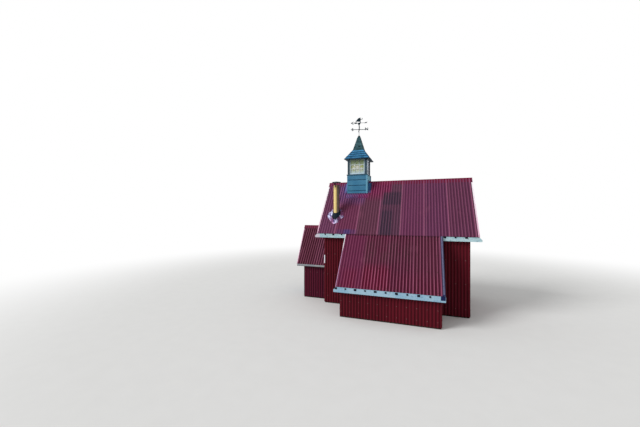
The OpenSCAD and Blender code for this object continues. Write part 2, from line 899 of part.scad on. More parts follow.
// Bird that stands on the arrow with its tail raised and its head lowered towards the point,
// measured from the middle of the arrow
module bird() {
  curl = [80, 134];
  polygon(concat(
    [[26, 0], [56, 0], [50, 44]],
    arc_points(-62, 108, 116, -24, 24, 5),
    [[46, 172], [32, 178], [4, 164], [-30, 150], [-56, 124], [-78, 90]],
    arc_points(-98, 62, 14, 80, 190, 4),
    [[-106, 46], [-80, 44]],
    arc_points(-20, 150, 110, 246, 290, 4)
  ));
  polygon(concat(
    arc_points(curl[0], curl[1], 31, -150, 80, 8),
    arc_points(curl[0], curl[1], 17, 80, -150, 8)
  ));
}

// Bracket below the arrow that steadies the bird on the sleeve
module vane_bracket() {
  polygon([[-10, -92], [-24, -54], [-48, -20], [-44, 4], [52, 8], [46, -16], [22, -50], [10, -92]]);
}

vane_t = 4;
sleeve_r = 11;

// Open arrow head: two slanting bars that spread from its point at x
module barbs(x, length, spread) {
  bar = 16;
  for (side = [-1, 1])
    polygon([
      [x, 0], [x + length - bar / 2, spread * side], [x + length, (spread - bar) * side], [x + 2 * bar, 0]
    ]);
}

// Outline of the arrow and what stands on it, from the middle of the arrow
module vane_outline() {
  half = arrow_l / 2;
  head = 98;
  tail = 110;
  leaf_r = 23;
  leaf_xs = [-132, -86];
  barbs(-half, head, 50);
  translate([-half + 10, -5]) square([arrow_l - tail + 18, 10]);
  polygon([
    [half - tail, -10], [half - tail + 32, 16], [half, 30], [half - 24, 10], [half - 10, -8],
    [half - 46, -4], [half - 72, -12]
  ]);
  for (x = leaf_xs) translate([x, -2]) circle(r = leaf_r, $fn = 32);
  translate([leaf_xs[0], -2 - leaf_r]) square([leaf_xs[1] - leaf_xs[0], 2 * leaf_r]);
  bird();
  vane_bracket();
}

// Turning part: a capped sleeve over the spindle, with the plate of the arrow and the bird
module weathervane() {
  clear = 0.3;
  sleeve_low = arrow_z - 150;
  color([0.08, 0.1, 0.1]) at_cupola() rotate([0, 0, arrow_turn]) difference() {
    union() {
      translate([0, 0, sleeve_low]) cylinder(h = arrow_z + 14 - sleeve_low, r = sleeve_r, $fn = 32);
      translate([0, vane_t / 2, arrow_z]) rotate([90, 0, 0]) linear_extrude(vane_t) vane_outline();
    }
    translate([0, 0, sleeve_low - 1])
      cylinder(h = spindle_top + 1 - sleeve_low + 1, r = spindle_d / 2 + clear, $fn = 32);
  }
}

floor_bearers();
floor_deck();
front_wall_left();
front_wall_right();
back_wall();
right_gable_wall();
left_gable_front();
left_gable_back();
left_gable_top();
eaves_beam();
outshut_front_wall();
outshut_cheeks();
porch_side_walls();
porch_gable_wall();
porch_door_frame();
porch_door();
ridge_board();
roof_frame_front();
roof_frame_back();
outshut_roof_frame();
porch_roof_frame();
front_wall_sheets();
back_wall_sheets();
left_gable_sheets();
right_gable_sheets();
outshut_wall_sheets();
porch_wall_sheets();
roof_sheets_front();
roof_sheets_back();
catslide_sheets();
porch_roof_sheets();
ridge_caps();
front_fascias();
back_fascia();
catslide_fascia();
porch_fascias();
verge_trims();
catslide_verge_trims();
flue_pipe();
flue_cowl();
flue_boot();
flue_flashing();
cupola_flashing();
cupola_base();
cupola_sill();
cupola_posts();
cupola_window_frames();
cupola_glass();
cupola_soffit();
cupola_skirt();
cupola_spire();
compass_arms();
weathervane();
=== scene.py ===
import random
from math import ceil, copysign, cos, exp, floor, hypot, pi, radians, sin, sqrt, tan

import bmesh
import bpy
from mathutils import Matrix, Vector, noise


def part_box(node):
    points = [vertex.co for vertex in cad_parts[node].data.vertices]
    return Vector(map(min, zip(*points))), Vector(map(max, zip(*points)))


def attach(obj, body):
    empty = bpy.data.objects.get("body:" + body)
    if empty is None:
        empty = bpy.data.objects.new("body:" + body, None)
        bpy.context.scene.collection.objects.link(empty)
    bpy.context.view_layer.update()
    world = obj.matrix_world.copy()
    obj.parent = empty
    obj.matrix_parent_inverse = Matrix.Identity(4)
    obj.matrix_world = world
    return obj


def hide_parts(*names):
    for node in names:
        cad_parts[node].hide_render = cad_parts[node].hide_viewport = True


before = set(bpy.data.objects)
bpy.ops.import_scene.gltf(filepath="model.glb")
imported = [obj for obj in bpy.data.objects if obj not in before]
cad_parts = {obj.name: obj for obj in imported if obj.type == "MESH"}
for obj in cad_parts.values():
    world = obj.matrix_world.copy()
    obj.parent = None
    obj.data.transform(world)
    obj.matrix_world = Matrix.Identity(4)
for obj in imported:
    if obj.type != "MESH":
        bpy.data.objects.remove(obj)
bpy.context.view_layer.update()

# The camera stands level in front of the low bay, to the right of its middle,
# and looks past it towards the porch.
camera_place = (0.841, -9.118, 2.639)
camera_turn = radians(20.05)
camera_data = bpy.data.cameras.new("camera")
camera_data.lens = 16
camera_data.sensor_width = 36
scene = bpy.context.scene


def staged(name, data):
    """A new object in the scene."""
    made = bpy.data.objects.new(name, data)
    scene.collection.objects.link(made)
    return made


camera = staged("camera", camera_data)
camera.location = camera_place
camera.rotation_euler = (radians(90), 0, camera_turn)
scene.camera = camera
scene.view_settings.view_transform = "Standard"


# The studio is a pale floor that fades to white, an even white surround
# and one broad lamp high on the porch side.
class Graph:
    """A node tree. node() adds any node and hands back one of its outputs as a Field."""

    def __init__(self, tree):
        self.tree = tree

    def node(self, kind, settings=None, sockets=None, out=0):
        made = self.tree.nodes.new(kind)
        for key, value in (settings or {}).items():
            setattr(made, key, value)
        for key, value in (sockets or {}).items():
            if isinstance(value, Field):
                self.tree.links.new(value.socket, made.inputs[key])
            else:
                made.inputs[key].default_value = value
        return Field(self, made.outputs[out])

    def maths(self, operation, *values):
        return self.node("ShaderNodeMath", {"operation": operation}, dict(enumerate(values)))

    def axes(self, where):
        """The X, Y and Z of a vector, each as a Field."""
        outputs = self.node("ShaderNodeSeparateXYZ", None, {0: where}).socket.node.outputs
        return [Field(self, outputs[i]) for i in range(3)]

    def seen(self, *kinds):
        """1 for rays that come from the camera or are of these other kinds."""
        rays = self.node("ShaderNodeLightPath").socket.node.outputs
        shown = Field(self, rays["Is Camera Ray"])
        for kind in kinds:
            shown = self.maths("MAXIMUM", shown, Field(self, rays[kind]))
        return shown


class Field:
    """One output socket. Sums on it add the Math nodes that work them out."""

    def __init__(self, graph, socket):
        self.graph = graph
        self.socket = socket

    def __add__(self, other):
        return self.graph.maths("ADD", self, other)

    __radd__ = __add__

    def __sub__(self, other):
        return self.graph.maths("SUBTRACT", self, other)

    def __rsub__(self, other):
        return self.graph.maths("SUBTRACT", other, self)

    def __mul__(self, other):
        return self.graph.maths("MULTIPLY", self, other)

    __rmul__ = __mul__

    def __pow__(self, other):
        return self.graph.maths("POWER", self, other)

    def clamp(self):
        return self.graph.maths("MINIMUM", self.graph.maths("MAXIMUM", self, 0), 1)

    def smooth(self, low, high):
        """0 below low and 1 above high, with a soft step between; low may be the larger one."""
        return self.graph.node(
            "ShaderNodeMapRange", {"interpolation_type": "SMOOTHSTEP"},
            {"Value": self, "From Min": low, "From Max": high},
        )

    def between(self, low, high, soft):
        """1 where it lies between two values, with soft ends."""
        return self.smooth(low - soft, low + soft) * self.smooth(high + soft, high - soft)


def paint(red, green, blue):
    """A colour as it looks on a screen, 0 to 255, turned into the light that it gives back."""
    def light(value):
        value /= 255
        return value / 12.92 if value <= 0.04045 else ((value + 0.055) / 1.055) ** 2.4
    return (light(red), light(green), light(blue), 1)


class Finish(Graph):
    """A surface finish: a material whose nodes vary its colour, gloss and relief."""

    def __init__(self, name):
        self.material = bpy.data.materials.new(name)
        self.material.use_nodes = True
        super().__init__(self.material.node_tree)
        self.tree.nodes.clear()

    def place(self):
        return self.node("ShaderNodeTexCoord", out="Object")

    def read(self, label, out="Color"):
        """What the mesh holds under a name."""
        return self.node("ShaderNodeAttribute", {"attribute_name": label}, out=out)

    def speckle(self, where, scale, detail=4, rough=0.55):
        """Noise of one scale, or drawn out where scale holds a factor for each axis."""
        if isinstance(scale, tuple):
            where = self.node("ShaderNodeVectorMath", {"operation": "MULTIPLY"}, {0: where, 1: scale})
            scale = 1
        sockets = {"Vector": where, "Scale": scale, "Detail": detail, "Roughness": rough}
        return self.node("ShaderNodeTexNoise", None, sockets)

    def mix(self, amount, first, second, blend="MIX"):
        """Two colours mixed; three plain numbers are a colour as paint() takes it."""
        first, second = [
            paint(*value) if isinstance(value, tuple) and len(value) == 3 else value
            for value in (first, second)
        ]
        return self.node(
            "ShaderNodeMix", {"data_type": "RGBA", "blend_type": blend, "clamp_factor": True},
            {"Factor": amount, 6: first, 7: second}, out=2,
        )

    def over(self, colour, *coats):
        """Lays coats over a colour, each given as its share and its own colour."""
        for share, coat in coats:
            colour = self.mix(share, colour, coat)
        return colour

    def close(self, colour, rough, relief=None, depth=0.001, specular=0.12, **others):
        """Ends the finish in its shader, with a bump from a relief Field where there is one."""
        sockets = {"Base Color": colour, "Roughness": rough, "Specular IOR Level": specular, **others}
        if relief is not None:
            heights = {"Height": relief, "Distance": depth, "Strength": 1}
            sockets["Normal"] = self.node("ShaderNodeBump", None, heights)
        self.end(self.node("ShaderNodeBsdfPrincipled", None, sockets))
        return self

    def end(self, surface):
        shown = self.tree.nodes.new("ShaderNodeOutputMaterial")
        self.tree.links.new(surface.socket, shown.inputs["Surface"])


floor_reach = 60
floor_solid = 7
floor_fade = 16
lamp_from = Vector((-0.75, -0.62, 0.62))

surround = bpy.data.worlds.new("surround")
surround.use_nodes = True
scene.world = surround
sky = Graph(surround.node_tree)
sky.tree.nodes.clear()
bright = sky.seen("Is Glossy Ray", "Is Transmission Ray") * 0.45 + 0.55
white = sky.node("ShaderNodeBackground", None, {"Color": (1, 1, 1, 1), "Strength": bright})
sky.tree.links.new(white.socket, sky.tree.nodes.new("ShaderNodeOutputWorld").inputs["Surface"])

lamp_data = bpy.data.lights.new("key", "SUN")
lamp_data.energy = 2
lamp_data.angle = radians(24)
staged("key", lamp_data).rotation_euler = lamp_from.to_track_quat("Z", "Y").to_euler()

floor_finish = Finish("pale_floor")
paper = floor_finish.place()
far = floor_finish.node("ShaderNodeVectorMath", {"operation": "LENGTH"}, {0: paper}, out="Value")
fade = far.smooth(floor_solid, floor_fade) * floor_finish.seen("Is Glossy Ray")
tone = floor_finish.mix(floor_finish.speckle(paper, 3), (0.78, 0.78, 0.77, 1), (0.82, 0.82, 0.81, 1))
matt = floor_finish.node("ShaderNodeBsdfDiffuse", None, {"Color": tone})
glow = floor_finish.node("ShaderNodeEmission", None, {"Color": (1, 1, 1, 1), "Strength": 1})
floor_finish.end(floor_finish.node("ShaderNodeMixShader", None, {0: fade, 1: matt, 2: glow}))
floor_mesh = bpy.data.meshes.new("floor")
floor_mesh.from_pydata(
    [(x * floor_reach, y * floor_reach, 0) for x, y in ((-1, -1), (1, -1), (1, 1), (-1, 1))],
    [], [(0, 1, 2, 3)],
)
floor_mesh.materials.append(floor_finish.material)
staged("floor", floor_mesh)


# The floor and the stud walls are sawn softwood, nailed up and left bare inside.
# The rafters and purlins above them are of the same boards.
def dress(finish, *nodes):
    """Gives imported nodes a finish, without touching their shape."""
    for name in nodes:
        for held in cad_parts[name].material_slots:
            held.material = finish.material


def sawn_timber(name, grain, pale, dark):
    """Bare boards whose grain runs along one axis: factors stretch the pattern along it."""
    made = Finish(name)
    where = made.place()
    rings = made.speckle(where, grain, 6)
    stain = made.speckle(where, 1.7)
    colour = made.mix(rings.smooth(0.35, 0.65), pale, dark)
    colour = made.mix(stain.smooth(0.5, 0.8) * 0.5, colour, (0.62, 0.6, 0.56, 1), "MULTIPLY")
    return made.close(colour, rings * 0.2 + 0.62, rings, 0.0006)


dress(
    sawn_timber("sawn_timber_upright", (38, 38, 2.5), (190, 160, 118), (150, 118, 78)),
    "front_wall_left", "front_wall_right", "back_wall", "right_gable_wall",
    "left_gable_front", "left_gable_back", "left_gable_top", "outshut_front_wall",
    "outshut_cheeks", "porch_side_walls", "porch_gable_wall",
)
dress(
    sawn_timber("sawn_timber_lengthwise", (2.5, 38, 38), (186, 156, 114), (146, 114, 76)),
    "floor_deck", "eaves_beam", "ridge_board", "roof_frame_front",
    "roof_frame_back", "outshut_roof_frame", "porch_roof_frame",
)
wet_timber = sawn_timber("sawn_timber_wet", (2.5, 38, 38), (52, 40, 32), (34, 26, 22))
dress(wet_timber, "floor_bearers")


# The walls are clad with upright sheets of corrugated iron, painted dark red, each lapped
# one and a half waves over the last and screwed to the studs through its crests.
plain_white = (1, 1, 1, 1)


class Shells:
    """Closed shells of one piece, each point with its place on the lay of the sheets and a colour."""

    def __init__(self):
        self.points = []
        self.faces = []
        self.lay = []
        self.colours = []

    def add(self, points, faces, colours, lay=()):
        start = len(self.points)
        self.points += points
        self.faces += [[start + index for index in face] for face in faces]
        lay = lay or [None] * len(points)
        self.lay += [own or (point[0] + point[1], point[2]) for own, point in zip(lay, points)]
        self.colours += colours if isinstance(colours, list) else [colours] * len(points)

    def loft(self, rings, colours, ring_shaped=False, lay=(), ladder=False):
        """Closed outlines joined in turn, with flat ends or, where ring_shaped, back to the first."""
        n, count = len(rings[0]), len(rings)
        end = [[i, i + 1, n - 2 - i, n - 1 - i] for i in range(n // 2 - 1)] if ladder else [range(n)]
        closed = [] if ring_shaped else [0, count * n - n]
        faces = [[start + i for i in face] for start in closed for face in end]
        for k in range(count if ring_shaped else count - 1):
            a, b = k * n, (k + 1) % count * n
            faces += [[a + i, a + (i + 1) % n, b + (i + 1) % n, b + i] for i in range(n)]
        self.add([point for ring in rings for point in ring], faces, colours, lay)

    def plate(self, columns, ring_shaped=False):
        """A plate from columns of (outer point, inner point, colour, lay), with its rim closed."""
        rings, colours, lay = [], [], []
        for column in columns:
            outer, inner, tones, lays = [list(values) for values in zip(*column)]
            rings.append(outer + inner[::-1])
            colours += tones + tones[::-1]
            lay += lays + lays[::-1]
        self.loft(rings, colours, ring_shaped, lay, True)

    def prism(self, outline, place, near, far, colour=plain_white):
        """An outline drawn out between two depths; place turns (a, b, depth) into a point."""
        self.loft([[place(a, b, depth) for a, b in outline] for depth in (near, far)], colour)

    def box(self, low, high, colour=plain_white):
        outline = ((low[0], low[1]), (high[0], low[1]), (high[0], high[1]), (low[0], high[1]))
        self.prism(outline, lambda x, y, z: Vector((x, y, z)), low[2], high[2], colour)

    def turned(self, profile, place, sides, colour=plain_white):
        """A closed profile carried round: place turns an angle and one profile entry into a point."""
        turns = [2 * pi * k / sides for k in range(sides)]
        self.loft([[place(turn, *entry) for entry in profile] for turn in turns], colour, True)

    def rod(self, path, radius, sides=10, colour=plain_white):
        """A round rod along a path of points, closed at both ends."""
        turns = [2 * pi * k / sides for k in range(sides)]
        rings = []
        for before, middle, after in zip([path[0], *path], path, [*path[1:], path[-1]]):
            along = (after - before).normalized()
            side = along.cross(Vector((0.31, 0.2, 0.93))).normalized()
            up = along.cross(side)
            rings.append([middle + radius * (cos(turn) * side + sin(turn) * up) for turn in turns])
        self.loft(rings, colour)

    def mesh(self, name):
        made = bpy.data.meshes.new(name)
        made.from_pydata([tuple(point) for point in self.points], [], self.faces)
        layer = made.uv_layers.new(name="lay")
        for loop, corner in zip(made.loops, layer.data):
            corner.uv = self.lay[loop.vertex_index]
        colours = made.color_attributes.new("sheet_colour", "FLOAT_COLOR", "POINT")
        for point, colour in zip(colours.data, self.colours):
            point.color = colour
        work = bmesh.new()
        work.from_mesh(made)
        bmesh.ops.recalc_face_normals(work, faces=work.faces)
        work.to_mesh(made)
        work.free()
        return made


def fit(mesh, finish, replaces=(), smooth=None, bevel=0):
    """Makes a mesh one piece of the hut: its finish, its edges, its body and what it stands for."""
    piece = staged(mesh.name, mesh)
    mesh.materials.clear()
    mesh.materials.append(finish.material)
    if smooth:
        mesh.shade_smooth()
        mesh.set_sharp_from_angle(angle=radians(smooth))
    if bevel:
        edge = piece.modifiers.new("edges", "BEVEL")
        edge.width = bevel
        edge.segments = 1
        edge.limit_method = "ANGLE"
        edge.angle_limit = radians(40)
    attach(piece, "hut")
    if replaces:
        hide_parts(*replaces)


wave = 0.0762
wave_deep = 0.0162
iron = 0.0008
lap_rise = 0.0019
cover = 8 * wave
lap = 1.5 * wave
steps = 12
row_height = 0.34
lap_highlight_width = 0.024
uneven = 0.0004
sliver = 0.02
over_sheets = wave_deep + iron + lap_rise


def wave_height(u):
    return wave_deep / 2 * (1 + cos(2 * pi * u / wave))


def blend(first, second, share):
    """A colour part of the way from one to another, with the alpha of the first."""
    return [a + (b - a) * share for a, b in zip(first[:3], second[:3])] + [first[3]]


def limit(value):
    return min(1, max(0, value))


def ripple(x, y, z):
    return noise.noise(Vector((x, y, z)))


def marks(low, high, step):
    """Two ends and every whole step between them."""
    return [low] + [k * step for k in range(ceil(low / step), floor(high / step) + 1)] + [high]


def iron_sheet(shells, u0, u1, low, high, place, colour, rise, edge):
    """One corrugated sheet from u0 to u1 and from low(u) to high(u), its left edge on top."""
    step = wave / steps
    us = [u0] + [u for u in marks(u0, u1, step) if u0 + step / 4 < u < u1 - step / 4] + [u1]
    rows = max(2, ceil(max(high(u) - low(u) for u in us) / row_height) + 1)
    columns = []
    for u in us:
        # Towards its raised left edge the sheet's colour turns to the edge colour: a painted highlight
        # along the lap.
        tone = blend(colour, edge, limit(1.5 - (u - u0) / lap_highlight_width)) if edge else colour
        columns.append([])
        for j in range(rows):
            v = low(u) + (high(u) - low(u)) * j / (rows - 1)
            lift = lap_rise * (u1 - u) / (u1 - u0) + (rise(v) if rise else 0)
            w = wave_height(u) + lift + uneven * ripple(u * 3, v * 2, 7)
            columns[-1].append((place(u, v, w + iron), place(u, v, w), tone, (u, v)))
    shells.plate(columns)


def clad(name, stands_for, colour_of, spans, finish, rise=None, edge=None):
    """A piece of lapped sheets: a span is where its laps start, its ends, its foot, its top, its face."""
    shells = Shells()
    for start, u0, u1, low, high, place in spans:
        first = floor((u0 - start) / cover + 0.001)
        last = ceil((u1 - start) / cover - 0.001)
        for i in range(first, last):
            a = max(u0, start + i * cover)
            b = min(u1, start + (i + 1) * cover + lap)
            if b - a > sliver and a < u1 - sliver:
                iron_sheet(shells, a, b, low, high, place, colour_of(i), rise, edge)
    fit(shells.mesh(name), finish, [stands_for], smooth=50)


def shaded(base, spread, seed):
    """A colour for each sheet, a little lighter or darker than the base."""
    def colour_of(i):
        factor = 1 + spread * random.Random(seed + i).uniform(-1, 1)
        return (base[0] * factor, base[1] * factor, base[2] * factor, 1)
    return colour_of


def painted_iron(name, fade_and_highlight_colour, grime, crest_fade_and_highlight_share, trough_dirt_and_shade_share, stain=None):
    """Old gloss paint on corrugated iron, streaked: lighter on the crests with fading and a painted
    highlight, darker in the troughs with dirt and painted shade.
    """
    made = Finish(name)
    colour = made.read("sheet_colour")
    strong = made.read("sheet_colour", "Alpha")
    lay = made.node("ShaderNodeUVMap", {"uv_map": "lay"})
    across, down, _ = made.axes(lay)
    crest = made.maths("COSINE", across * (2 * pi / wave)) * 0.5 + 0.5
    streaks = made.speckle(lay, (34, 1.1, 1), 5)
    patches = made.speckle(lay, (2.4, 1.3, 1), 5, 0.6)
    grain = made.speckle(lay, (140, 60, 1), 3)
    if stain:
        colour, strong = stain(made, colour, strong, across, down, streaks, patches)
    # Crests turn lighter and troughs darker: real fading and dirt together with a painted highlight on the
    # crests and painted shade in the troughs.
    crest_fade_and_highlight = (crest ** 3 * 0.8 + streaks * 0.7 - 0.42).smooth(0.2, 0.85) * crest_fade_and_highlight_share * strong
    trough_dirt_and_shade = ((1 - crest) * 0.7 + patches * 0.9 - 0.45).smooth(0.1, 0.8) * trough_dirt_and_shade_share * strong
    colour = made.over(colour, (crest_fade_and_highlight, fade_and_highlight_colour), (trough_dirt_and_shade, grime))
    colour = made.mix(patches.smooth(0.55, 0.72) * 0.25, colour, made.mix(0.5, colour, fade_and_highlight_colour))
    colour = made.mix(grain.smooth(0.62, 0.75) * 0.25, colour, (0.9, 0.8, 0.8, 1), "MULTIPLY")
    gloss = 0.5 + streaks * 0.25 + trough_dirt_and_shade * 0.2
    return made.close(colour, gloss, grain * 0.3 + streaks * 0.7, 0.0008)


# Wall paint: its lighter crests and darker troughs carry a painted highlight and painted shade along with
# real fading and dirt.
wall_iron = painted_iron("wall_iron_paint", (112, 22, 40), (38, 4, 10), 0.5, 0.6)
wall_red = paint(84, 8, 24)
porch_red = paint(72, 13, 38)
wall_spread = 0.14

pitch = radians(52)
sin_pitch = sin(pitch)
cos_pitch = cos(pitch)
tan_pitch = tan(pitch)
sheet_deep = 0.019
purlin = 0.045
rafter = 0.095
porch_rafter = 0.07
seam = 0.002

roof_low, roof_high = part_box("roof_sheets_front")
roof_start = 0.012
iron_top = roof_high.z + roof_start * sin_pitch - sheet_deep * cos_pitch
timber_top = iron_top - purlin / cos_pitch
rafter_foot = timber_top - rafter / cos_pitch

to_front, to_back = Vector((0, -1, 0)), Vector((0, 1, 0))
to_left, to_right = Vector((-1, 0, 0)), Vector((1, 0, 0))


def wall_face(out, plane):
    """The face of a wall: from the way along it, the height and the depth out of it to a point."""
    along = Vector((abs(out.y), abs(out.x), 0))
    return lambda u, v, w: along * u + out * (plane + w) + Vector((0, 0, v))


def level(height):
    return lambda u: height


def gable_line(top):
    """Height of a roof plane over a point across the gable."""
    return lambda u: top - tan_pitch * abs(u)


def clad_wall(name, base, seed, spans):
    tones = shaded(base, wall_spread, seed)
    clad(name + "_iron", name + "_sheets", tones, spans, wall_iron)


front_low, front_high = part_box("front_wall_sheets")
gable_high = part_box("right_gable_sheets")[1]
bay_low, bay_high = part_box("outshut_wall_sheets")
porch_low, porch_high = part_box("porch_wall_sheets")
porch_roof_low, porch_roof_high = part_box("porch_roof_sheets")
door_low, door_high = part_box("porch_door_frame")
wall_y = -front_low.y - sheet_deep
wall_x = gable_high.x - sheet_deep
bay_left, bay_right = bay_low.x, bay_high.x
bay_front = -bay_low.y - sheet_deep
bay_top = rafter_foot - tan_pitch * (bay_front + sheet_deep)
porch_y = porch_high.y - sheet_deep
porch_side = porch_high.y + seam
porch_top = porch_roof_high.z + roof_start * sin_pitch - sheet_deep * cos_pitch
porch_timber = porch_top - purlin / cos_pitch
porch_eaves = porch_timber - porch_rafter / cos_pitch - tan_pitch * porch_high.y - seam
over_porch = gable_line(porch_top + sheet_deep / cos_pitch + 0.012)
foot = level(front_low.z)
under_roof = gable_line(timber_top)

clad_wall("front_wall", wall_red, 11, [
    (front_low.x, u0, u1, foot, level(front_high.z), wall_face(to_front, wall_y))
    for u0, u1 in ((front_low.x, bay_left - seam), (bay_right + seam, front_high.x))
])
clad_wall("back_wall", wall_red, 31, [
    (front_low.x, front_low.x, front_high.x, foot, level(front_high.z), wall_face(to_back, wall_y))
])
clad_wall("right_gable", wall_red, 51, [
    (-wall_y, -wall_y, wall_y, foot, under_roof, wall_face(to_right, wall_x))
])
clad_wall("left_gable", wall_red, 71, [
    (-wall_y, u0, u1, low, under_roof, wall_face(to_left, wall_x)) for u0, u1, low in (
        (-wall_y, -porch_side, foot), (-porch_side, porch_side, over_porch), (porch_side, wall_y, foot)
    )
])
cheek = (-bay_front, -bay_front, -wall_y - seam, foot, under_roof)
clad_wall("outshut_wall", wall_red, 91, [
    (bay_left, bay_left + sheet_deep, bay_right - sheet_deep, foot, level(bay_top - seam),
     wall_face(to_front, bay_front)),
    (*cheek, wall_face(to_right, bay_right - sheet_deep)),
    (*cheek, wall_face(to_left, -bay_left - sheet_deep)),
])
porch_start = porch_low.x + sheet_deep
clad_wall("porch_wall", porch_red, 111, [
    (porch_start, porch_start, porch_high.x, foot, level(porch_eaves), wall_face(out, porch_y))
    for out in (to_front, to_back)
] + [
    (-porch_y, u0, u1, low, gable_line(porch_timber), wall_face(to_left, -porch_start)) for u0, u1, low in (
        (-porch_y, door_low.y, foot), (door_low.y, door_high.y, level(door_high.z)),
        (door_high.y, porch_y, foot),
    )
])


# The roofs are long corrugated sheets, faded from red to purple, screwed through their
# crests to the purlins. The upper sheets lap over the ones of the low bay.
def slope_face(side, top):
    """A roof plane, to the front where side is -1: from along, down and out of it to a point."""
    return lambda u, v, w: Vector(
        (u, side * (cos_pitch * v + sin_pitch * w), top - sin_pitch * v + cos_pitch * w)
    )


front_slope, back_slope = slope_face(-1, iron_top), slope_face(1, iron_top)
porch_slopes = slope_face(-1, porch_top), slope_face(1, porch_top)
verge = roof_high.x
upper_run = (-roof_low.y - sin_pitch * sheet_deep) / cos_pitch
bay_roof_low, bay_roof_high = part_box("catslide_sheets")
bay_run = (-bay_roof_low.y - sin_pitch * sheet_deep) / cos_pitch
first_lap = -21 * wave
under_lap = 0.15
kick = 0.007
kick_reach = 0.3


def sheet(red, green, blue, contrast):
    """The colour of one sheet, whose alpha says how strongly its crest fading and painted highlight and its
    trough dirt and painted shade show.
    """
    return paint(red, green, blue)[:3] + (contrast,)


# Lighter colours for the raised left edges of the sheets: painted highlight along the laps.
lap_highlight_pink = paint(160, 94, 126)
bay_lap_highlight = paint(112, 52, 80)
upper_sheets = [sheet(*tone) for tone in (
    (101, 54, 86, 0.45), (102, 44, 74, 0.3), (90, 48, 68, 0.35), (86, 50, 72, 0.4),
    (97, 45, 78, 0.5), (93, 45, 78, 0.6), (90, 44, 72, 0.6), (88, 44, 70, 0.6),
)]
bay_sheets = [sheet(*tone) for tone in (
    (98, 32, 66, 0.45), (84, 22, 50, 0.75), (76, 20, 46, 0.95), (80, 28, 50, 0.95), (86, 36, 56, 0.9),
)]
porch_sheets = [sheet(74, 24, 42, 0.85), sheet(88, 38, 58, 1.1)]
rear_tones = shaded(paint(98, 47, 78), 0.12, 131)


def stained_by_water(made, colour, strong, across, down, streaks, patches):
    """What has run down the front sheets: violet round the cupola, lightened with painted light, soot, and
    rain on the low bay; also a painted shadow under the lap of the upper sheets.
    """
    def patch(left, right, side_soft, high, low, end_soft):
        return across.between(left, right, side_soft) * down.between(high, low, end_soft)

    on_top = down.smooth(upper_run, upper_run - 0.01)
    # The violet below the cupola is a stain run down from its paint, painted lighter as painted light over
    # the shadow the cupola casts.
    violet = patch(-1.78, -0.86, 0.07, 0.12, 0.86, 0.16) * on_top
    drip = across.between(-1.66, -1.5, 0.05) * down.smooth(0.9, 0.2) * streaks.smooth(0.36, 0.6)
    beside = patch(-1.586, -1.556, 0.006, 0.1, 0.52, 0.04)
    crimson = across.between(-0.8, -0.1, 0.05) * down.smooth(0.85, 0.4)
    soot = patch(-0.31, 0.21, 0.04, 0.44, 0.92, 0.06) + patch(-0.31, 0, 0.04, 1.18, 2.2, 0.1)
    soot = soot + patch(-0.31, 0.21, 0.04, 0.8, 2.2, 0.1) * 0.3
    grey = across.between(-1.54, -0.96, 0.06) * 0.35 + across.between(-1.33, -1.14, 0.03) * 0.5
    grey = grey * down.between(1.85, 2.4, 0.04) * on_top
    ruddy = down.smooth(bay_run - 0.75, bay_run - 0.3) * patches.smooth(0.3, 0.6) * 0.34
    ruddy = ruddy + patch(-0.62, 0.05, 0.08, 2.95, bay_run, 0.12) * 0.7
    ruddy = (ruddy + patch(-1.12, -0.76, 0.07, 3.1, bay_run, 0.1) * 0.3).clamp()
    mossy = patch(-0.6, 0.5, 0.2, 2.2, 2.85, 0.15) * patches.smooth(0.35, 0.6)
    # A dark band just below the lower edge of the upper sheets: painted shadow of the lap.
    painted_lap_shadow = down.smooth(upper_run - 0.004, upper_run + 0.004)
    painted_lap_shadow = painted_lap_shadow * down.smooth(upper_run + 0.05, upper_run + 0.02)
    colour = made.over(
        colour, (violet * 0.8, (104, 66, 114)), (drip * 0.6, (128, 96, 168)),
        (beside * 0.75, (52, 26, 84)), (crimson * 0.85, (120, 18, 74)),
        (soot.clamp() * on_top * 0.95, (54, 40, 58)), (grey, (66, 58, 112)),
        (ruddy, (106, 6, 46)), (mossy * 0.5, (76, 50, 56)), (painted_lap_shadow * 0.8, (44, 14, 28)),
    )
    return colour, strong + (crimson * 0.55 + violet * 0.5) * on_top + ruddy * 0.5


# Crest colour, real fading with a painted highlight, and trough colour, real dirt with painted shade.
fade_and_highlight_pink = (172, 98, 128)
trough_dirt_and_shade_colour = (48, 8, 24)
roof_iron = painted_iron("roof_iron_paint", fade_and_highlight_pink, trough_dirt_and_shade_colour, 0.6, 0.66, stained_by_water)
rear_iron = painted_iron("rear_iron_paint", fade_and_highlight_pink, trough_dirt_and_shade_colour, 0.6, 0.66)
upper_span = (first_lap, -verge, verge, level(roof_start), level(upper_run))
clad(
    "roof_iron_front", "roof_sheets_front", lambda i: upper_sheets[i + 1], [(*upper_span, front_slope)],
    roof_iron, lambda v: kick * max(0, v - upper_run + kick_reach) / kick_reach, lap_highlight_pink,
)
clad(
    "roof_iron_back", "roof_sheets_back", lambda i: rear_tones(i)[:3] + (0.5,),
    [(*upper_span, back_slope)], rear_iron, edge=lap_highlight_pink,
)
clad(
    "catslide_iron", "catslide_sheets", lambda i: bay_sheets[i],
    [(bay_roof_low.x, bay_roof_low.x, bay_roof_high.x, level(upper_run - under_lap),
      level(bay_run - 0.004), slope_face(-1, iron_top - 0.001))],
    roof_iron, edge=bay_lap_highlight,
)

porch_run = (-porch_roof_low.y - sin_pitch * sheet_deep) / cos_pitch
porch_rake = 0.11
porch_verge = porch_roof_low.x


def porch_cut(u):
    return max(roof_start + 0.002, min(porch_run, (u - porch_verge) / porch_rake * porch_run))


clad(
    "porch_roof_iron", "porch_roof_sheets", lambda i: porch_sheets[i],
    [(porch_verge, porch_verge, porch_roof_high.x, level(roof_start), porch_cut, slope)
     for slope in porch_slopes],
    roof_iron,
)


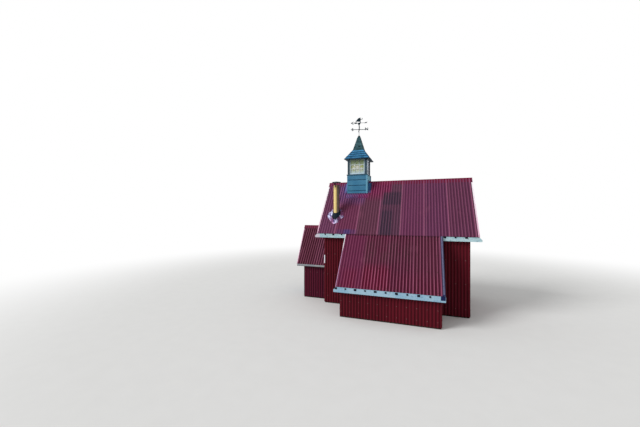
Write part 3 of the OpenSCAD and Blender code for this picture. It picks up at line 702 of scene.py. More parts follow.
# Roofing screws with domed washers hold the sheets down through every third crest.
# Each one is a hexagon head on a shallow steel dome, the heads rusted.
def growth_tree(name, grow, inputs):
    """A tree that puts one small shape on each point of a mesh, turned and sized as the point says."""
    tree = bpy.data.node_groups.new(name, "GeometryNodeTree")
    tree.is_modifier = True

    def put(label, kind, way="INPUT"):
        return tree.interface.new_socket(label, in_out=way, socket_type="NodeSocket" + kind)

    put("Points", "Geometry")
    for label, size in inputs.items():
        put(label, "Float").default_value = size
    put("Finish", "Material")
    put("Geometry", "Geometry", "OUTPUT")
    graph = Graph(tree)
    given = graph.node("NodeGroupInput").socket.node.outputs
    fields = {socket.name: Field(graph, socket) for socket in given if socket.name}
    turn, size = [
        graph.node("GeometryNodeInputNamedAttribute", {"data_type": "FLOAT_VECTOR"}, {"Name": label})
        for label in ("turn", "size")
    ]
    turn = graph.node("FunctionNodeEulerToRotation", None, {"Euler": turn})
    shape = grow(graph, fields)
    sockets = {"Points": fields["Points"], "Instance": shape, "Rotation": turn, "Scale": size}
    placed = graph.node("GeometryNodeInstanceOnPoints", None, sockets)
    solid = graph.node("GeometryNodeRealizeInstances", None, {"Geometry": placed})
    done = graph.node("GeometryNodeSetMaterial", None, {"Geometry": solid, "Material": fields["Finish"]})
    tree.links.new(done.socket, tree.nodes.new("NodeGroupOutput").inputs[0])
    return tree


def joined(graph, *parts):
    """Several shapes of a tree as one."""
    join = graph.tree.nodes.new("GeometryNodeJoinGeometry")
    for part in reversed(parts):
        graph.tree.links.new(part.socket, join.inputs[0])
    return Field(graph, join.outputs[0])


def stub(graph, corners, low, high, depth):
    """A short post of so many corners, with a radius at its foot and one at its head."""
    sockets = {"Vertices": corners, "Radius Bottom": low, "Radius Top": high, "Depth": depth}
    return graph.node("GeometryNodeMeshCone", None, sockets)


def screw_shape(graph, sizes):
    """A shallow dome with a hexagon head on it."""
    wide, tall, head = sizes["Washer radius"], sizes["Washer height"], sizes["Head radius"]
    dome = stub(graph, 14, wide, wide * 0.55, tall)
    return joined(graph, dome, stub(graph, 6, head, head * 0.9, tall * 2.6))


def spot(place, out, along=None, size=(1, 1, 1), tone=0.5):
    """Where one small shape goes, the way it faces, its size and its tone."""
    out = out.normalized()
    along = along or Vector((0.3, 0.6, 0.74)).cross(out)
    along = (along - out * along.dot(out)).normalized()
    turn = Matrix((along, out.cross(along), out)).transposed().to_euler()
    return place, turn, size, tone


def grown(name, tree, spots, finish, sizes=None):
    """Runs a tree over some spots and hands back the result as a plain mesh."""
    places, turns, scales, tones = zip(*spots)
    seedbed = bpy.data.meshes.new(name + "_points")
    seedbed.from_pydata([tuple(place) for place in places], [], [])
    for label, kind, key, values in (
        ("turn", "FLOAT_VECTOR", "vector", turns), ("size", "FLOAT_VECTOR", "vector", scales),
        ("tone", "FLOAT", "value", tones),
    ):
        for entry, value in zip(seedbed.attributes.new(label, kind, "POINT").data, values):
            setattr(entry, key, value)
    bed = staged(name + "_points", seedbed)
    modifier = bed.modifiers.new("grow", "NODES")
    modifier.node_group = tree
    names = {item.name: item.identifier for item in tree.interface.items_tree if item.in_out == "INPUT"}
    for label, value in {**(sizes or {}), "Finish": finish.material}.items():
        modifier[names[label]] = value
    shown = bed.evaluated_get(bpy.context.evaluated_depsgraph_get())
    made = bpy.data.meshes.new_from_object(shown)
    made.name = name
    bpy.data.objects.remove(bed)
    bpy.data.meshes.remove(seedbed)
    return made


def mottled(name, scale, first, second, span, rough, depth, detail=4, metallic=0):
    """A finish that goes from one colour to another in specks or clouds."""
    made = Finish(name)
    clouds = made.speckle(made.place(), scale, detail)
    colour = made.mix(clouds.smooth(*span) if span else clouds, first, second)
    return made.close(colour, clouds * 0.3 + rough, clouds, depth, Metallic=metallic)


screw_finish = mottled(
    "rusty_screws", 90, (92, 58, 62), (126, 96, 96), (0.4, 0.6), 0.45, 0.0004, metallic=0.4
)
screw_tree = growth_tree(
    "roofing_screws", screw_shape, {"Washer radius": 0.011, "Washer height": 0.003, "Head radius": 0.0055}
)
screw_every = 3
screw_margin = 0.03


def screw_down(name, rows):
    """One piece with all the screws of some rows: face, way out of it, two ends and the lines across."""
    spots = []
    for place, out, u0, u1, lines in rows:
        first, last = ceil((u0 + screw_margin) / wave), floor((u1 - screw_margin) / wave)
        for k in range(first, last + 1):
            if k % screw_every == 0:
                spots += [spot(place(k * wave, v, wave_deep + lap_rise * 0.6 + iron), out) for v in lines]
    fit(grown(name, screw_tree, spots, screw_finish), screw_finish)


front_out, back_out = [Vector((0, side * sin_pitch, cos_pitch)) for side in (-1, 1)]
purlin_lines = (0.21, 0.582, 1.042, 1.582, 1.942)
bay_purlin_lines = (2.132, 2.582, 3.032, 3.552)
porch_span = (porch_verge + 0.14, porch_roof_high.x, (0.28, 0.72, 1.41))
screw_down("roof_screws", (
    (front_slope, front_out, -verge, verge, purlin_lines),
    (front_slope, front_out, bay_roof_low.x, bay_roof_high.x - 0.08, bay_purlin_lines),
    (back_slope, back_out, -verge, verge, purlin_lines),
    (porch_slopes[0], front_out, *porch_span), (porch_slopes[1], back_out, *porch_span),
))
wall_lines = (0.22, 0.85, 1.45)
screw_down("wall_screws", [(wall_face(out, plane), out, *span) for out, plane, *span in (
    (to_front, wall_y, front_low.x, bay_left, wall_lines),
    (to_front, wall_y, bay_right, front_high.x, wall_lines),
    (to_back, wall_y, front_low.x, front_high.x, wall_lines),
    (to_right, wall_x, -wall_y, wall_y, wall_lines),
    (to_right, wall_x, -0.8, 0.8, (2.1,)),
    (to_left, wall_x, -wall_y, -porch_side, wall_lines),
    (to_left, wall_x, porch_side, wall_y, wall_lines),
    (to_left, wall_x, -0.5, 0.5, (2.45,)),
    (to_front, bay_front, bay_left, bay_right, (0.15, 0.42)),
    (to_right, bay_right - sheet_deep, -bay_front, -wall_y, (0.2, 0.55)),
    (to_left, -bay_left - sheet_deep, -bay_front, -wall_y, (0.2, 0.55)),
    (to_front, porch_y, porch_low.x, porch_high.x, (0.18, 0.8)),
    (to_back, porch_y, porch_low.x, porch_high.x, (0.18, 0.8)),
)])


# The ridges are covered with folded iron caps, each with a rolled top, laid end over end.
# The lower edges of their wings are dressed down into the waves of the sheets.
cap_length = 1.22
cap_lap = 0.06
cap_iron = 0.0012
roll_radius = 0.0122
roll_rise = 0.013
cap_lift = 0.0025
dressed = 0.045
dressed_share = 0.8
wing_head = 0.03
fine_step = wave / 8
crest_top = roof_high.z + roof_start * sin_pitch


def ridge_cap(shells, x0, x1, top, wing, colour):
    """One cap from x0 to x1: two wings that meet in a roll above the crests."""
    arc = [radians(angle) for angle in range(205, -26, -23)]
    downs = [wing, wing - 0.4 * dressed, wing - dressed, 0.5 * wing, wing_head]
    columns = []
    for x in marks(x0, x1, fine_step):
        lift = cap_lift * (x1 - x) / (x1 - x0)
        section = []
        for side, runs in ((-1, downs), (1, downs[::-1])):
            for down in runs:
                dip = max(0, (down - wing) / dressed + 1) * dressed_share * (wave_deep - wave_height(x))
                place = slope_face(side, top)(x, down, 0.001 + lift - dip)
                section.append((place, Vector((0, side * sin_pitch, cos_pitch)), down))
            if side < 0:
                for angle in arc:
                    out = Vector((0, cos(angle), sin(angle)))
                    centre = Vector((x, 0, top + roll_rise + lift * 0.4))
                    section.append((centre + (roll_radius - cap_iron) * out, out, 0))
        columns.append([
            (point + cap_iron * out, point, colour, (x, down)) for point, out, down in section
        ])
    shells.plate(columns)


caps = Shells()
cap_low, cap_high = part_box("ridge_caps")
cupola_low, cupola_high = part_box("cupola_base")
porch_crest = porch_roof_high.z + roof_start * sin_pitch
cap_tones = shaded(paint(114, 26, 58), 0.2, 191)
for x0, x1, top, wing in (
    (-verge - 0.008, cupola_low.x - 0.002, crest_top, 0.15),
    (cupola_high.x + 0.002, cap_high.x, crest_top, 0.15),
    (cap_low.x, porch_roof_high.x, porch_crest, 0.11),
):
    count = ceil((x1 - x0 - cap_lap) / cap_length)
    for i in range(count):
        start = x0 + (x1 - x0) * i / count
        ridge_cap(caps, start, min(x1, start + (x1 - x0) / count + cap_lap), top, wing, cap_tones(i))
# Cap paint: its lighter crests and darker troughs carry a painted highlight and painted shade along with
# fading and dirt.
cap_paint = painted_iron("ridge_cap_paint", (170, 92, 124), (66, 12, 30), 0.45, 0.4)
fit(caps.mesh("ridge_capping"), cap_paint, ["ridge_caps"], smooth=40)


# Soft aprons below the front and back of the cupola turn the rain onto the sheets.
# They are dressed over the waves and turned up behind the lowest board.
apron_low, apron_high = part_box("cupola_flashing")
apron_reach = 0.148
apron_metal = 0.0015
apron_rows = 7
apron_dressed = 0.85
upstand_heights = (0.04, 0.012)
flashing_gap = 0.001
cupola_half = (cupola_high.y - cupola_low.y) / 2
violet = paint(102, 76, 128)
crimson = paint(112, 36, 88)
upstand_tone = paint(66, 46, 84)
aprons = Shells()
for side, slope in ((-1, front_slope), (1, back_slope)):
    columns = []
    for x in marks(apron_low.x, apron_high.x, fine_step):
        columns.append([])
        for height in upstand_heights:
            point = Vector((x, side * (cupola_half + 0.0005), crest_top - tan_pitch * cupola_half + height))
            columns[-1].append((point + Vector((0, side * apron_metal, 0)), point, upstand_tone, None))
        for j in range(apron_rows):
            v = cupola_half / cos_pitch + apron_reach * j / (apron_rows - 1)
            w = over_sheets + flashing_gap + 0.0012 * ripple(x * 9, v * 9, side)
            w -= min(1, j / 3) * apron_dressed * (wave_deep - wave_height(x))
            share = limit((x - apron_low.x) / 0.7 * 1.6 - 0.35 + 0.7 * ripple(x * 11, v * 5, 3))
            tone = blend(violet, crimson, share)
            columns[-1].append((slope(x, v, w + apron_metal), slope(x, v, w), tone, None))
    aprons.plate(columns)
fit(aprons.mesh("cupola_aprons"), cap_paint, ["cupola_flashing"], smooth=60)


# Folded trims close the edges of the sheets, once white and now chalky, pink where the red
# has run over them. The right edge of the low bay has a wide grey flashing with a roll.
def metal_trim(name, upper, lower, top, foot, dirt, change=None):
    """Chalky paint on folded metal that fades from one colour to another down its height."""
    made = Finish(name)
    where = made.place()
    clouds = made.speckle(where, 7, 5)
    flecks = made.speckle(where, (60, 60, 24), 3)
    fall = (made.axes(where)[2].smooth(foot, top) + (clouds - 0.5) * 0.9).clamp()
    colour = made.over(lower, (fall, upper), (flecks.smooth(0.58, 0.7) * 0.5, dirt))
    if change:
        colour = change(made, colour, where, flecks)
    return made.close(colour, clouds * 0.3 + 0.4, clouds + flecks, 0.0006)


def grey_on_the_right(made, colour, where, flecks):
    """The left trim is lilac, white at its head; the flashing is violet and navy, with a painted highlight
    along its roll.
    """
    along, _, height = made.axes(where)
    left = made.mix(height.smooth(1.58, 1.74), (176, 128, 162), (238, 228, 236))
    end = bay_roof_high.x
    # A pale line along the roll: painted highlight.
    painted_roll_highlight = along.between(end - 0.04, end - 0.022, 0.004) * flecks.smooth(0.3, 0.5)
    right = made.over(
        (48, 24, 58), (along.smooth(end - 0.036, end - 0.026), (44, 46, 76)),
        (painted_roll_highlight * 0.8, (126, 136, 168)),
    )
    return made.mix(along.smooth(-0.1, 0.1), left, made.mix(0.2, right, colour))


chalky_trim = metal_trim("chalky_trim", (244, 234, 242), (228, 180, 204), 3.4, 2.1, (160, 112, 134))
dress(chalky_trim, "verge_trims")
dress(metal_trim(
    "grey_trim", (124, 116, 146), (104, 100, 128), 2, 0.8, (56, 38, 66), grey_on_the_right
), "catslide_verge_trims")


# The foot of the rolled flashing is folded down over the end of the fascia and painted navy.
# A flashing turns up where the porch roof meets the gable, and a short white angle covers
# the corner of the main wall below it.
def plain_coat(name, rough, scale=26, spread=0.25, metallic=0):
    """Paint that takes its colour from the piece, with soft clouds of dirt."""
    made = Finish(name)
    clouds = made.speckle(made.place(), scale, 5)
    dull, bright = [(tone, tone, tone, 1) for tone in (1 - spread, 1 + spread)]
    colour = made.mix(1, made.read("sheet_colour"), made.mix(clouds, dull, bright), "MULTIPLY")
    return made.close(colour, clouds * 0.3 + rough, clouds, 0.0006, Metallic=metallic)


def angle_bead(a, b, thick):
    """The outline of a folded angle with legs of two lengths."""
    fold = copysign(thick, a)
    return [(0, 0), (a, 0), (a, thick), (fold, thick), (fold, b), (0, b)]


bay_fascia_low, bay_fascia_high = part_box("catslide_fascia")
flap_wide = 0.097
roll_wide = 0.064
bead_metal = 0.0015
corner_span = (1.17, 1.41)
navy = paint(22, 32, 76)
flap = Shells()
flap.box(
    (bay_roof_high.x - flap_wide, bay_fascia_low.y - 0.004, bay_fascia_low.z + 0.042),
    (bay_roof_high.x + 0.001, bay_fascia_low.y - 0.001, bay_fascia_high.z - 0.016), navy,
)
flap.prism(
    [(0, 0), (0.066, 0), (0.066, 0.016), (0.04, 0.022), (0, 0.008)],
    lambda a, b, depth: front_slope(bay_roof_high.x - roll_wide + a, depth, sheet_deep + 0.003 + b),
    bay_run - 0.03, bay_run - 0.002, navy,
)
junction = Shells()
for slope in porch_slopes:
    junction.prism(
        angle_bead(-0.045, 0.06, bead_metal),
        lambda a, b, depth: slope(porch_roof_high.x + a, depth, sheet_deep + 0.002 + b),
        0.13, porch_run - 0.004, paint(96, 28, 44),
    )
corner = Vector((front_low.x - 0.002, front_low.y - 0.002, 0))
junction.prism(
    angle_bead(0.03, 0.03, bead_metal), lambda a, b, depth: corner + Vector((a, b, depth)),
    *corner_span, paint(222, 222, 230),
)
trim_coat = plain_coat("trim_coat", 0.4)
fit(flap.mesh("flashing_foot"), trim_coat, bevel=0.003)
fit(junction.mesh("porch_abutment_flashing"), trim_coat)


# The fascias are softwood boards with old pale blue paint, chalky and streaked with dirt.
# Bent steel straps hook over their top edges, large and small in turn, and hold the sheets.
def painted_wood(name, coat, chalk, dirt, grain, wear=0.5, relief=0.0008, stain=None):
    """Paint on boards whose grain runs along one axis: factors stretch the pattern along it."""
    made = Finish(name)
    where = made.place()
    fibres = made.speckle(where, grain, 6)
    clouds = made.speckle(where, 2.8, 6, 0.62)
    flecks = made.speckle(where, 42)
    colour = made.over(
        coat, (clouds.smooth(0.38, 0.62), chalk), (fibres.smooth(0.52, 0.72) * wear, dirt),
        (flecks.smooth(0.6, 0.72) * wear, dirt),
    )
    if stain:
        colour = stain(made, colour, where, clouds)
    return made.close(colour, fibres * 0.25 + 0.42, fibres * 0.6 + flecks * 0.4, relief)


def runs_of_dirt(made, colour, where, clouds):
    """Dark runs below the top edge and a warm chalky white here and there."""
    runs = made.speckle(where, (26, 26, 2.5))
    spots = made.speckle(where, (20, 20, 34), 2)
    along, _, height = made.axes(where)
    return made.over(
        colour, (runs.smooth(0.56, 0.7) * 0.4, (104, 132, 146)),
        (spots.smooth(0.6, 0.7) * 0.6, (74, 104, 122)),
        (clouds.smooth(0.58, 0.7) * 0.7, (224, 214, 222)),
        (along.smooth(-2.03, -2.06) * 0.8, (206, 192, 204)),
        (height.smooth(1.3, 1.2) * 0.5, (116, 158, 194)),
    )


def darkened_bottom_edge(made, colour, where, clouds):
    """The low boards are painted dark along their bottom edge."""
    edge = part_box("porch_fascias")[0].z
    dark_bottom = made.axes(where)[2].smooth(edge + 0.016, edge + 0.01)
    return made.mix(dark_bottom * 0.85, colour, (52, 48, 52))


fascia_paint = painted_wood(
    "fascia_paint", (160, 196, 208), (192, 216, 218), (106, 138, 150), (2, 40, 40),
    0.45, 0.0012, runs_of_dirt,
)
dress(fascia_paint, "front_fascias", "back_fascia", "catslide_fascia")
dress(painted_wood(
    "porch_fascia_paint", (140, 146, 154), (166, 168, 168), (76, 88, 100), (2, 40, 40),
    0.45, 0.0012, darkened_bottom_edge,
), "porch_fascias")


def strap_shape(graph, sizes):
    """A flat strap with a square bolt head near its lower end."""
    wide, thick = sizes["Strap width"], sizes["Strap thickness"]
    size = graph.node("ShaderNodeCombineXYZ", None, {"X": wide, "Y": sizes["Strap drop"], "Z": thick})
    strap = graph.node("GeometryNodeMeshCube", None, {"Size": size})
    return joined(graph, strap, stub(graph, 8, wide * 0.42, wide * 0.3, thick * 4))


strap_tree = growth_tree(
    "fascia_straps", strap_shape, {"Strap width": 0.064, "Strap drop": 0.048, "Strap thickness": 0.003}
)
strap_iron = mottled("strap_iron", 70, (10, 16, 32), (30, 30, 44), None, 0.45, 0.0005, metallic=0.3)
main_fascia_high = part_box("back_fascia")[1]
strap_pitch = 0.2474
strap_drop = 0.02 * tan_pitch + 0.031
small_strap = (0.62, 0.82, 1)
whole_row = [-1.872 + strap_pitch * k for k in range(16)]
strap_spots = []
for face, top, side, small, xs in (
    (bay_fascia_low.y, bay_fascia_high.z, -1, 1, [-1.249 + strap_pitch * k for k in range(10)]),
    (-main_fascia_high.y, main_fascia_high.z, -1, 0, whole_row[:3] + whole_row[-3:]),
    (main_fascia_high.y, main_fascia_high.z, 1, 0, whole_row),
):
    for k, x in enumerate(xs):
        size = small_strap if k % 2 == small else (1, 1, 1)
        place = Vector((x, face + side * 0.0018, top - strap_drop + (0 if small else 0.02)))
        strap_spots.append(spot(place, Vector((0, side, 0)), to_right, size))
fit(grown("fascia_straps", strap_tree, strap_spots, strap_iron), strap_iron)


# The stove pipe is stainless steel, browned in clouds where soot and heat have tarnished it, and darker
# towards its top.
# Its colour also holds a painted gold sheen and highlight on the side towards the lamp and a painted brown
# reflection at its nearest edge.
# Clamp bands hold its lengths, and straps carry the rain cap.
pipe_low, pipe_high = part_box("flue_pipe")
flue_x = (pipe_low.x + pipe_high.x) / 2
flue_y = (pipe_low.y + pipe_high.y) / 2
pipe_radius = (pipe_high.x - pipe_low.x) / 2
pipe_top = pipe_high.z
painted_light_from = (-0.957, -0.29)
band_heights = (pipe_top - 0.115, pipe_top - 0.56)
round_steps = 64

pipe_finish = Finish("tarnished_steel")
where = pipe_finish.place()
x, y, z = pipe_finish.axes(where)
side = ((x - flue_x) * painted_light_from[0] + (y - flue_y) * painted_light_from[1]) * (1 / pipe_radius)
brushed = pipe_finish.speckle(where, (8, 8, 160), 3)
heat = pipe_finish.speckle(where, (5, 5, 2.2), 5)
# A painted gold sheen across the side towards the lamp, with a painted highlight within it.
painted_gold_sheen = side.smooth(-0.2, -0.02) * side.smooth(0.95, 0.74)
painted_highlight_gold = pipe_finish.mix(side.smooth(0, 0.3), (200, 172, 104), (234, 212, 142))
# Tarnish in clouds, a painted brown reflection at the edge nearest the lamp, and darker towards the top.
colour = pipe_finish.over(
    (132, 108, 96), (heat.smooth(0.35, 0.65), (100, 90, 80)),
    (side.smooth(0.6, 0.8), (128, 62, 44)), (painted_gold_sheen * 0.92, painted_highlight_gold),
    (z.smooth(pipe_top - 0.16, pipe_top) * 0.6, (40, 34, 30)),
)
pipe_finish.close(colour, brushed * 0.2 + 0.3, brushed, 0.0004, Metallic=0.35 - painted_gold_sheen * 0.2)
dress(pipe_finish, "flue_pipe")


def upright(x, y, z):
    """Places a turned profile round an upright axis."""
    return lambda angle, radius, height: Vector(
        (x + radius * cos(angle), y + radius * sin(angle), z + height)
    )


bands = Shells()
round_pipe = upright(flue_x, flue_y, 0)
for height in band_heights:
    section = ((0, 0), (0.002, 0), (0.0045, 0.006), (0.0045, 0.026), (0.002, 0.032), (0, 0.032))
    profile = [(pipe_radius + 0.0006 + out, height + up) for out, up in section]
    bands.turned(profile, round_pipe, round_steps)
    for turn in (-0.4, -0.22):
        end = round_pipe(turn, pipe_radius + 0.0036, height + 0.008)
        bands.box(end - Vector((0.004, 0.012, 0)), end + Vector((0.012, 0.002, 0.016)))
fit(bands.mesh("flue_bands"), pipe_finish, smooth=30)

sooty_cap = mottled("sooty_cap", 14, (24, 24, 32), (44, 42, 50), (0.4, 0.65), 0.4, 0.0006, 6, 0.5)
dress(sooty_cap, "flue_cowl")
cowl_low, cowl_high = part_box("flue_cowl")
rim_reach = (cowl_high.x - cowl_low.x) / 2 - 0.0075
# The rim is a light grey against the sooty cap: a painted highlight along its lit edge.
rim = Shells()
rim.turned(
    [(rim_reach + 0.007 * cos(a), cowl_high.z - 0.031 + 0.011 * sin(a))
     for a in [pi / 5 * k for k in range(10)]], round_pipe, round_steps, paint(150, 156, 158),
)
fit(rim.mesh("flue_cap_rim"), plain_coat("cap_rim_steel", 0.35, 30, 0.3, 0.4), smooth=60)


# A black rubber boot seals the pipe to the roof: a flange dressed into the waves and a
# stepped cone whose rim tilts with the slope. Below it lies a sheet of crumpled bare metal.
boot_across = 0.14
boot_up = 0.14
boot_down = 0.11
boot_climb = 0.112
rubber = 0.0045
crest_on_slope = iron_top + wave_deep / cos_pitch


def slope_spot(a, b, w):
    """A point on the front slope, from the middle of the flue: across, down and out of it."""
    return front_slope(flue_x + a, -flue_y / cos_pitch + b, w)


def boot_point(angle, reach, climb, out):
    """climb is 0 on the flange and 1 at the rim, where the reach is a radius round the pipe."""
    a, b = cos(angle), -sin(angle)
    if climb == 0:
        across = a * boot_across * reach
        along = b * (boot_down if b > 0 else boot_up) * reach
        dip = max(0, (reach - 0.8) / 0.2) * 0.75 * (wave_deep - wave_height(flue_x + across))
        return slope_spot(across, along, wave_deep - dip + 0.003 + out)
    rim = Vector((flue_x + a * (reach + out), flue_y - b * (reach + out), 0))
    on_roof = crest_on_slope - tan_pitch * abs(rim.y)
    top = crest_on_slope + tan_pitch * flue_y + boot_climb + (rim.y - flue_y) * 0.6
    rim.z = on_roof + 0.006 + (top - on_roof) * climb
    return rim


boot = Shells()
cone = (
    (0.034, 0.1), (0.026, 0.34), (0.021, 0.36), (0.018, 0.62), (0.012, 0.64), (0.01, 0.9),
    (0.007, 0.92), (0.005, 1),
)
boot.turned(
    [(1, 0, rubber), (0.93, 0, rubber), (0.84, 0, rubber * 1.2)]
    + [(pipe_radius + out, climb, rubber) for out, climb in cone]
    + [(pipe_radius + out, climb, 0) for out, climb in ((0.001, 1), (0.0005, 0.5), (0.002, 0.12))]
    + [(0.84, 0, 0), (1, 0, 0)],
    boot_point, 96,
)
boot_rubber = mottled("boot_rubber", 22, (4, 18, 34), (22, 38, 52), (0.45, 0.7), 0.45, 0.001, 6)
fit(boot.mesh("flue_boot_rubber"), boot_rubber, ["flue_boot"], smooth=60)

left_reach, right_reach, up_reach, down_reach = 0.272, 0.248, 0.27, 0.325
bare_metal = paint(206, 208, 240)
pink_metal = paint(216, 150, 200)
# A dark blue for the creases of the crumpled sheet: painted shade.
painted_crease_shade = paint(74, 66, 132)
smeared = paint(104, 52, 88)
patch_sides = 132
patch_rings = 15


def bell(angle, middle, wide):
    """1 at one angle, falling off to both sides of it."""
    return exp(-((angle - middle) / wide) ** 2)


def patch_edge(angle):
    """How far the torn sheet reaches in a direction across the slope."""
    a, b = cos(angle), -sin(angle)
    wide = left_reach if a < 0 else right_reach
    deep = down_reach if b > 0 else up_reach
    torn = 0.2 * ripple(a * 2.3, b * 2.3, 4) + 0.09 * ripple(a * 8, b * 8, 9)
    pinched = 0.16 * bell(angle, 3.93, 0.3) + 0.24 * bell(angle, 5.45, 0.28)
    return (0.94 + torn - pinched) / hypot(a / wide, b / deep)


columns = []
for k in range(patch_sides):
    columns.append([])
    angle = 2 * pi * k / patch_sides
    hole = 1 / hypot(cos(angle) / 0.118, sin(angle) / 0.196)
    left = max(0, cos(angle - 2.98)) ** 1.2
    bare = left + bell(angle, 4.78, 0.36) + 0.75 * bell(angle, 5.98, 0.35) + bell(angle, 1.14, 0.12)
    for j in range(patch_rings):
        t = j / (patch_rings - 1)
        reach = hole + (patch_edge(angle) - hole) * t
        a, b = reach * cos(angle), -reach * sin(angle)
        crease = abs(ripple(a * 15, b * 15, 2)) + 0.5 * abs(ripple(a * 34, b * 34, 6))
        dip = 0.5 * (wave_deep - wave_height(flue_x + a)) * min(1, 2 * t)
        w = over_sheets - dip + 0.0006 + 0.017 * crease * min(1, 3 * t) * (1 - 0.55 * t)
        w += (0.018 + 0.042 * max(0, -sin(angle))) * (1 - t) ** 1.6 * (0.8 + crease)
        # Noise mixes the bare metal with the dark blue of painted crease shade.
        fold = limit(2.6 * ripple(a * 24, b * 15, 8) + 0.72)
        metal = blend(blend(painted_crease_shade, bare_metal, fold), pink_metal, 1.15 * bell(angle, 4.3, 0.36) * fold)
        bright = ripple(a * 9, b * 9, 1) + 0.35
        tone = blend(smeared, metal, limit(bare * 1.25 + bright * 0.6 - 0.5))
        columns[-1].append((slope_spot(a, b, w + iron), slope_spot(a, b, w), tone, None))
patch = Shells()
patch.plate(columns, True)
soft_metal = plain_coat("crumpled_metal", 0.3, 40, 0.3, 0.25)
fit(patch.mesh("flue_flashing_sheet"), soft_metal, ["flue_flashing"], smooth=70)


# The cupola stands astride the ridge on a box of lapped weatherboards, nailed to corner
# posts that show as upright strips, the right-hand one painted paler as a painted highlight.
# Its paint is a faded mid blue.
cupola_x = (cupola_low.x + cupola_high.x) / 2
base_top = cupola_high.z
board_pitch = 0.172
board_lows = [base_top - 0.142 - board_pitch * i for i in range(4)]
board_face = 0.002
board_back = 0.024
corner_wide = 0.034
corner_proud = {-1: 0.004, 1: 0.019}
scoop = 0.021
scoop_face = 0.013
inset = cupola_half - corner_wide + 0.001
front_tone = shaded(paint(62, 122, 156), 0.13, 211)
# The side faces take a darker blue than the front: painted shade.
painted_shade_side_tone = shaded(paint(46, 104, 140), 0.1, 231)
# The right-hand corner strip is paler than the left: a painted highlight.
corner_tones_with_painted_highlight = {-1: paint(62, 120, 152), 1: paint(108, 164, 188)}
# The scoop below each board's butt is painted dark: painted shade in the recess.
scoop_painted_shade = paint(10, 46, 78)


def roof_height(y):
    """Height of the sheets' crests at a distance from the ridge."""
    return crest_top - tan_pitch * abs(y)


def front_board(side):
    """From along a board, height and depth below its face to a point on the front or back."""
    return lambda a, b, depth: Vector((cupola_x + a, side * (cupola_half - depth), b))


def side_board(side):
    return lambda a, b, depth: Vector((cupola_x + side * (cupola_half - depth), a, b))


def front_outlines(low, high):
    low = max(low, roof_height(cupola_half) + 0.003)
    return [[(-inset, low), (inset, low), (inset, high), (-inset, high)]] if high > low else []


def side_outlines(low, high):
    """What is left of a band of the side face above the two slopes of the roof."""
    reach = (crest_top - low) / tan_pitch
    peak = (crest_top - high) / tan_pitch
    if peak <= 0:
        notch = [(-reach, low), (0, crest_top), (reach, low)] if reach > 0 else []
        return [[(-inset, low), *notch, (inset, low), (inset, high), (-inset, high)]]
    if peak >= inset:
        return []
    low = max(low, roof_height(inset))
    half = [(inset, low), (min(inset, reach), low), (peak, high), (inset, high)]
    return [[(hand * a, b) for a, b in half] for hand in (-1, 1)]


boards = Shells()
for side in (-1, 1):
    for place, outlines, tone in (
        (front_board(side), front_outlines, front_tone), (side_board(side), side_outlines, painted_shade_side_tone),
    ):
        for i, (low, high) in enumerate(zip(board_lows, [base_top] + board_lows)):
            # The top board of each side face is pale: a painted highlight.
            colour = paint(122, 188, 204) if tone is painted_shade_side_tone and i == 0 else tone(i + 5 * side)
            groove = high - (scoop if i else 0)
            for outline in outlines(low, groove):
                boards.prism(outline, place, board_face, board_back, colour)
            if i:
                for outline in outlines(groove, high):
                    boards.prism(outline, place, scoop_face, board_back, scoop_painted_shade)
    for hand in (-1, 1):
        near, far = sorted((side * cupola_half, side * (cupola_half - corner_wide)))
        outline = [(near, roof_height(near)), (far, roof_height(far)), (far, base_top), (near, base_top)]
        edge = cupola_x + hand * (cupola_half + corner_proud[hand])
        boards.prism(
            outline, lambda a, b, depth: Vector((depth, a, b)), edge,
            edge - hand * (corner_wide + corner_proud[hand]), corner_tones_with_painted_highlight[hand],
        )


def tone_of_each(made, colour, where, clouds):
    """Takes the tone of each board and lets it fade in soft patches."""
    return made.mix(0.72, colour, made.read("sheet_colour"))


blue_boards = painted_wood(
    "blue_board_paint", (52, 108, 142), (92, 146, 172), (34, 74, 104), (5, 5, 90),
    0.4, 0.001, tone_of_each,
)
fit(boards.mesh("cupola_boards"), blue_boards, ["cupola_base"], bevel=0.0015)

strip_head = 0.035
strip_foot = 0.45
wing_metal = 0.0015
wing_rows = 12
cap_reach = 0.2
wing_profile = (
    (0, 0.05), (0, 0.006), (0.018, 0.001), (0.029, 0), (0.041, 0), (0.054, 0), (0.065, 0), (0.08, 0),
    (0.1, -0.003),
)
# Colour bands across each wing from the box outwards, turning violet lower down; on the left the dark blue
# band next to the box is painted shade on the upstand.
wing_tones_with_painted_shade = {
    -1: [(0.03, paint(66, 98, 146)), (0.066, paint(116, 124, 176)), (1, paint(80, 66, 122))],
    1: [(0.04, paint(54, 108, 152)), (0.068, paint(52, 84, 130)), (1, paint(60, 52, 86))],
}
low_violet = paint(100, 70, 118)


def side_flashing(shells, slope, hand):
    """The strip beside the box on one slope: an upstand, and a wing dressed over the waves."""
    columns = []
    for k in range(wing_rows):
        columns.append([])
        v = strip_head + (strip_foot - strip_head) * k / (wing_rows - 1)
        over_cap = 0.006 * limit((cap_reach - v) / 0.04)
        for reach, lift in wing_profile:
            x = cupola_x + hand * (cupola_half + 0.011 + reach)
            sag = 0.5 * (wave_deep - wave_height(x)) * min(1, reach / 0.03)
            w = over_sheets + flashing_gap + over_cap + lift - sag * (1 if v > cap_reach else 0.2)
            tone = next(tone for end, tone in wing_tones_with_painted_shade[hand] if reach <= end)
            tone = blend(tone, low_violet, 0.8 * limit((v - 0.32) / 0.13))
            outer = slope(x + hand * wing_metal, v, w + wing_metal)
            columns[-1].append((outer, slope(x, v, w), tone, None))
    shells.plate(columns)


wings = Shells()
for hand in (-1, 1):
    for slope in (front_slope, back_slope):
        side_flashing(wings, slope, hand)
wing_coat = plain_coat("side_flashing_coat", 0.45, 30, 0.28)
fit(wings.mesh("cupola_side_flashings"), wing_coat, smooth=60)

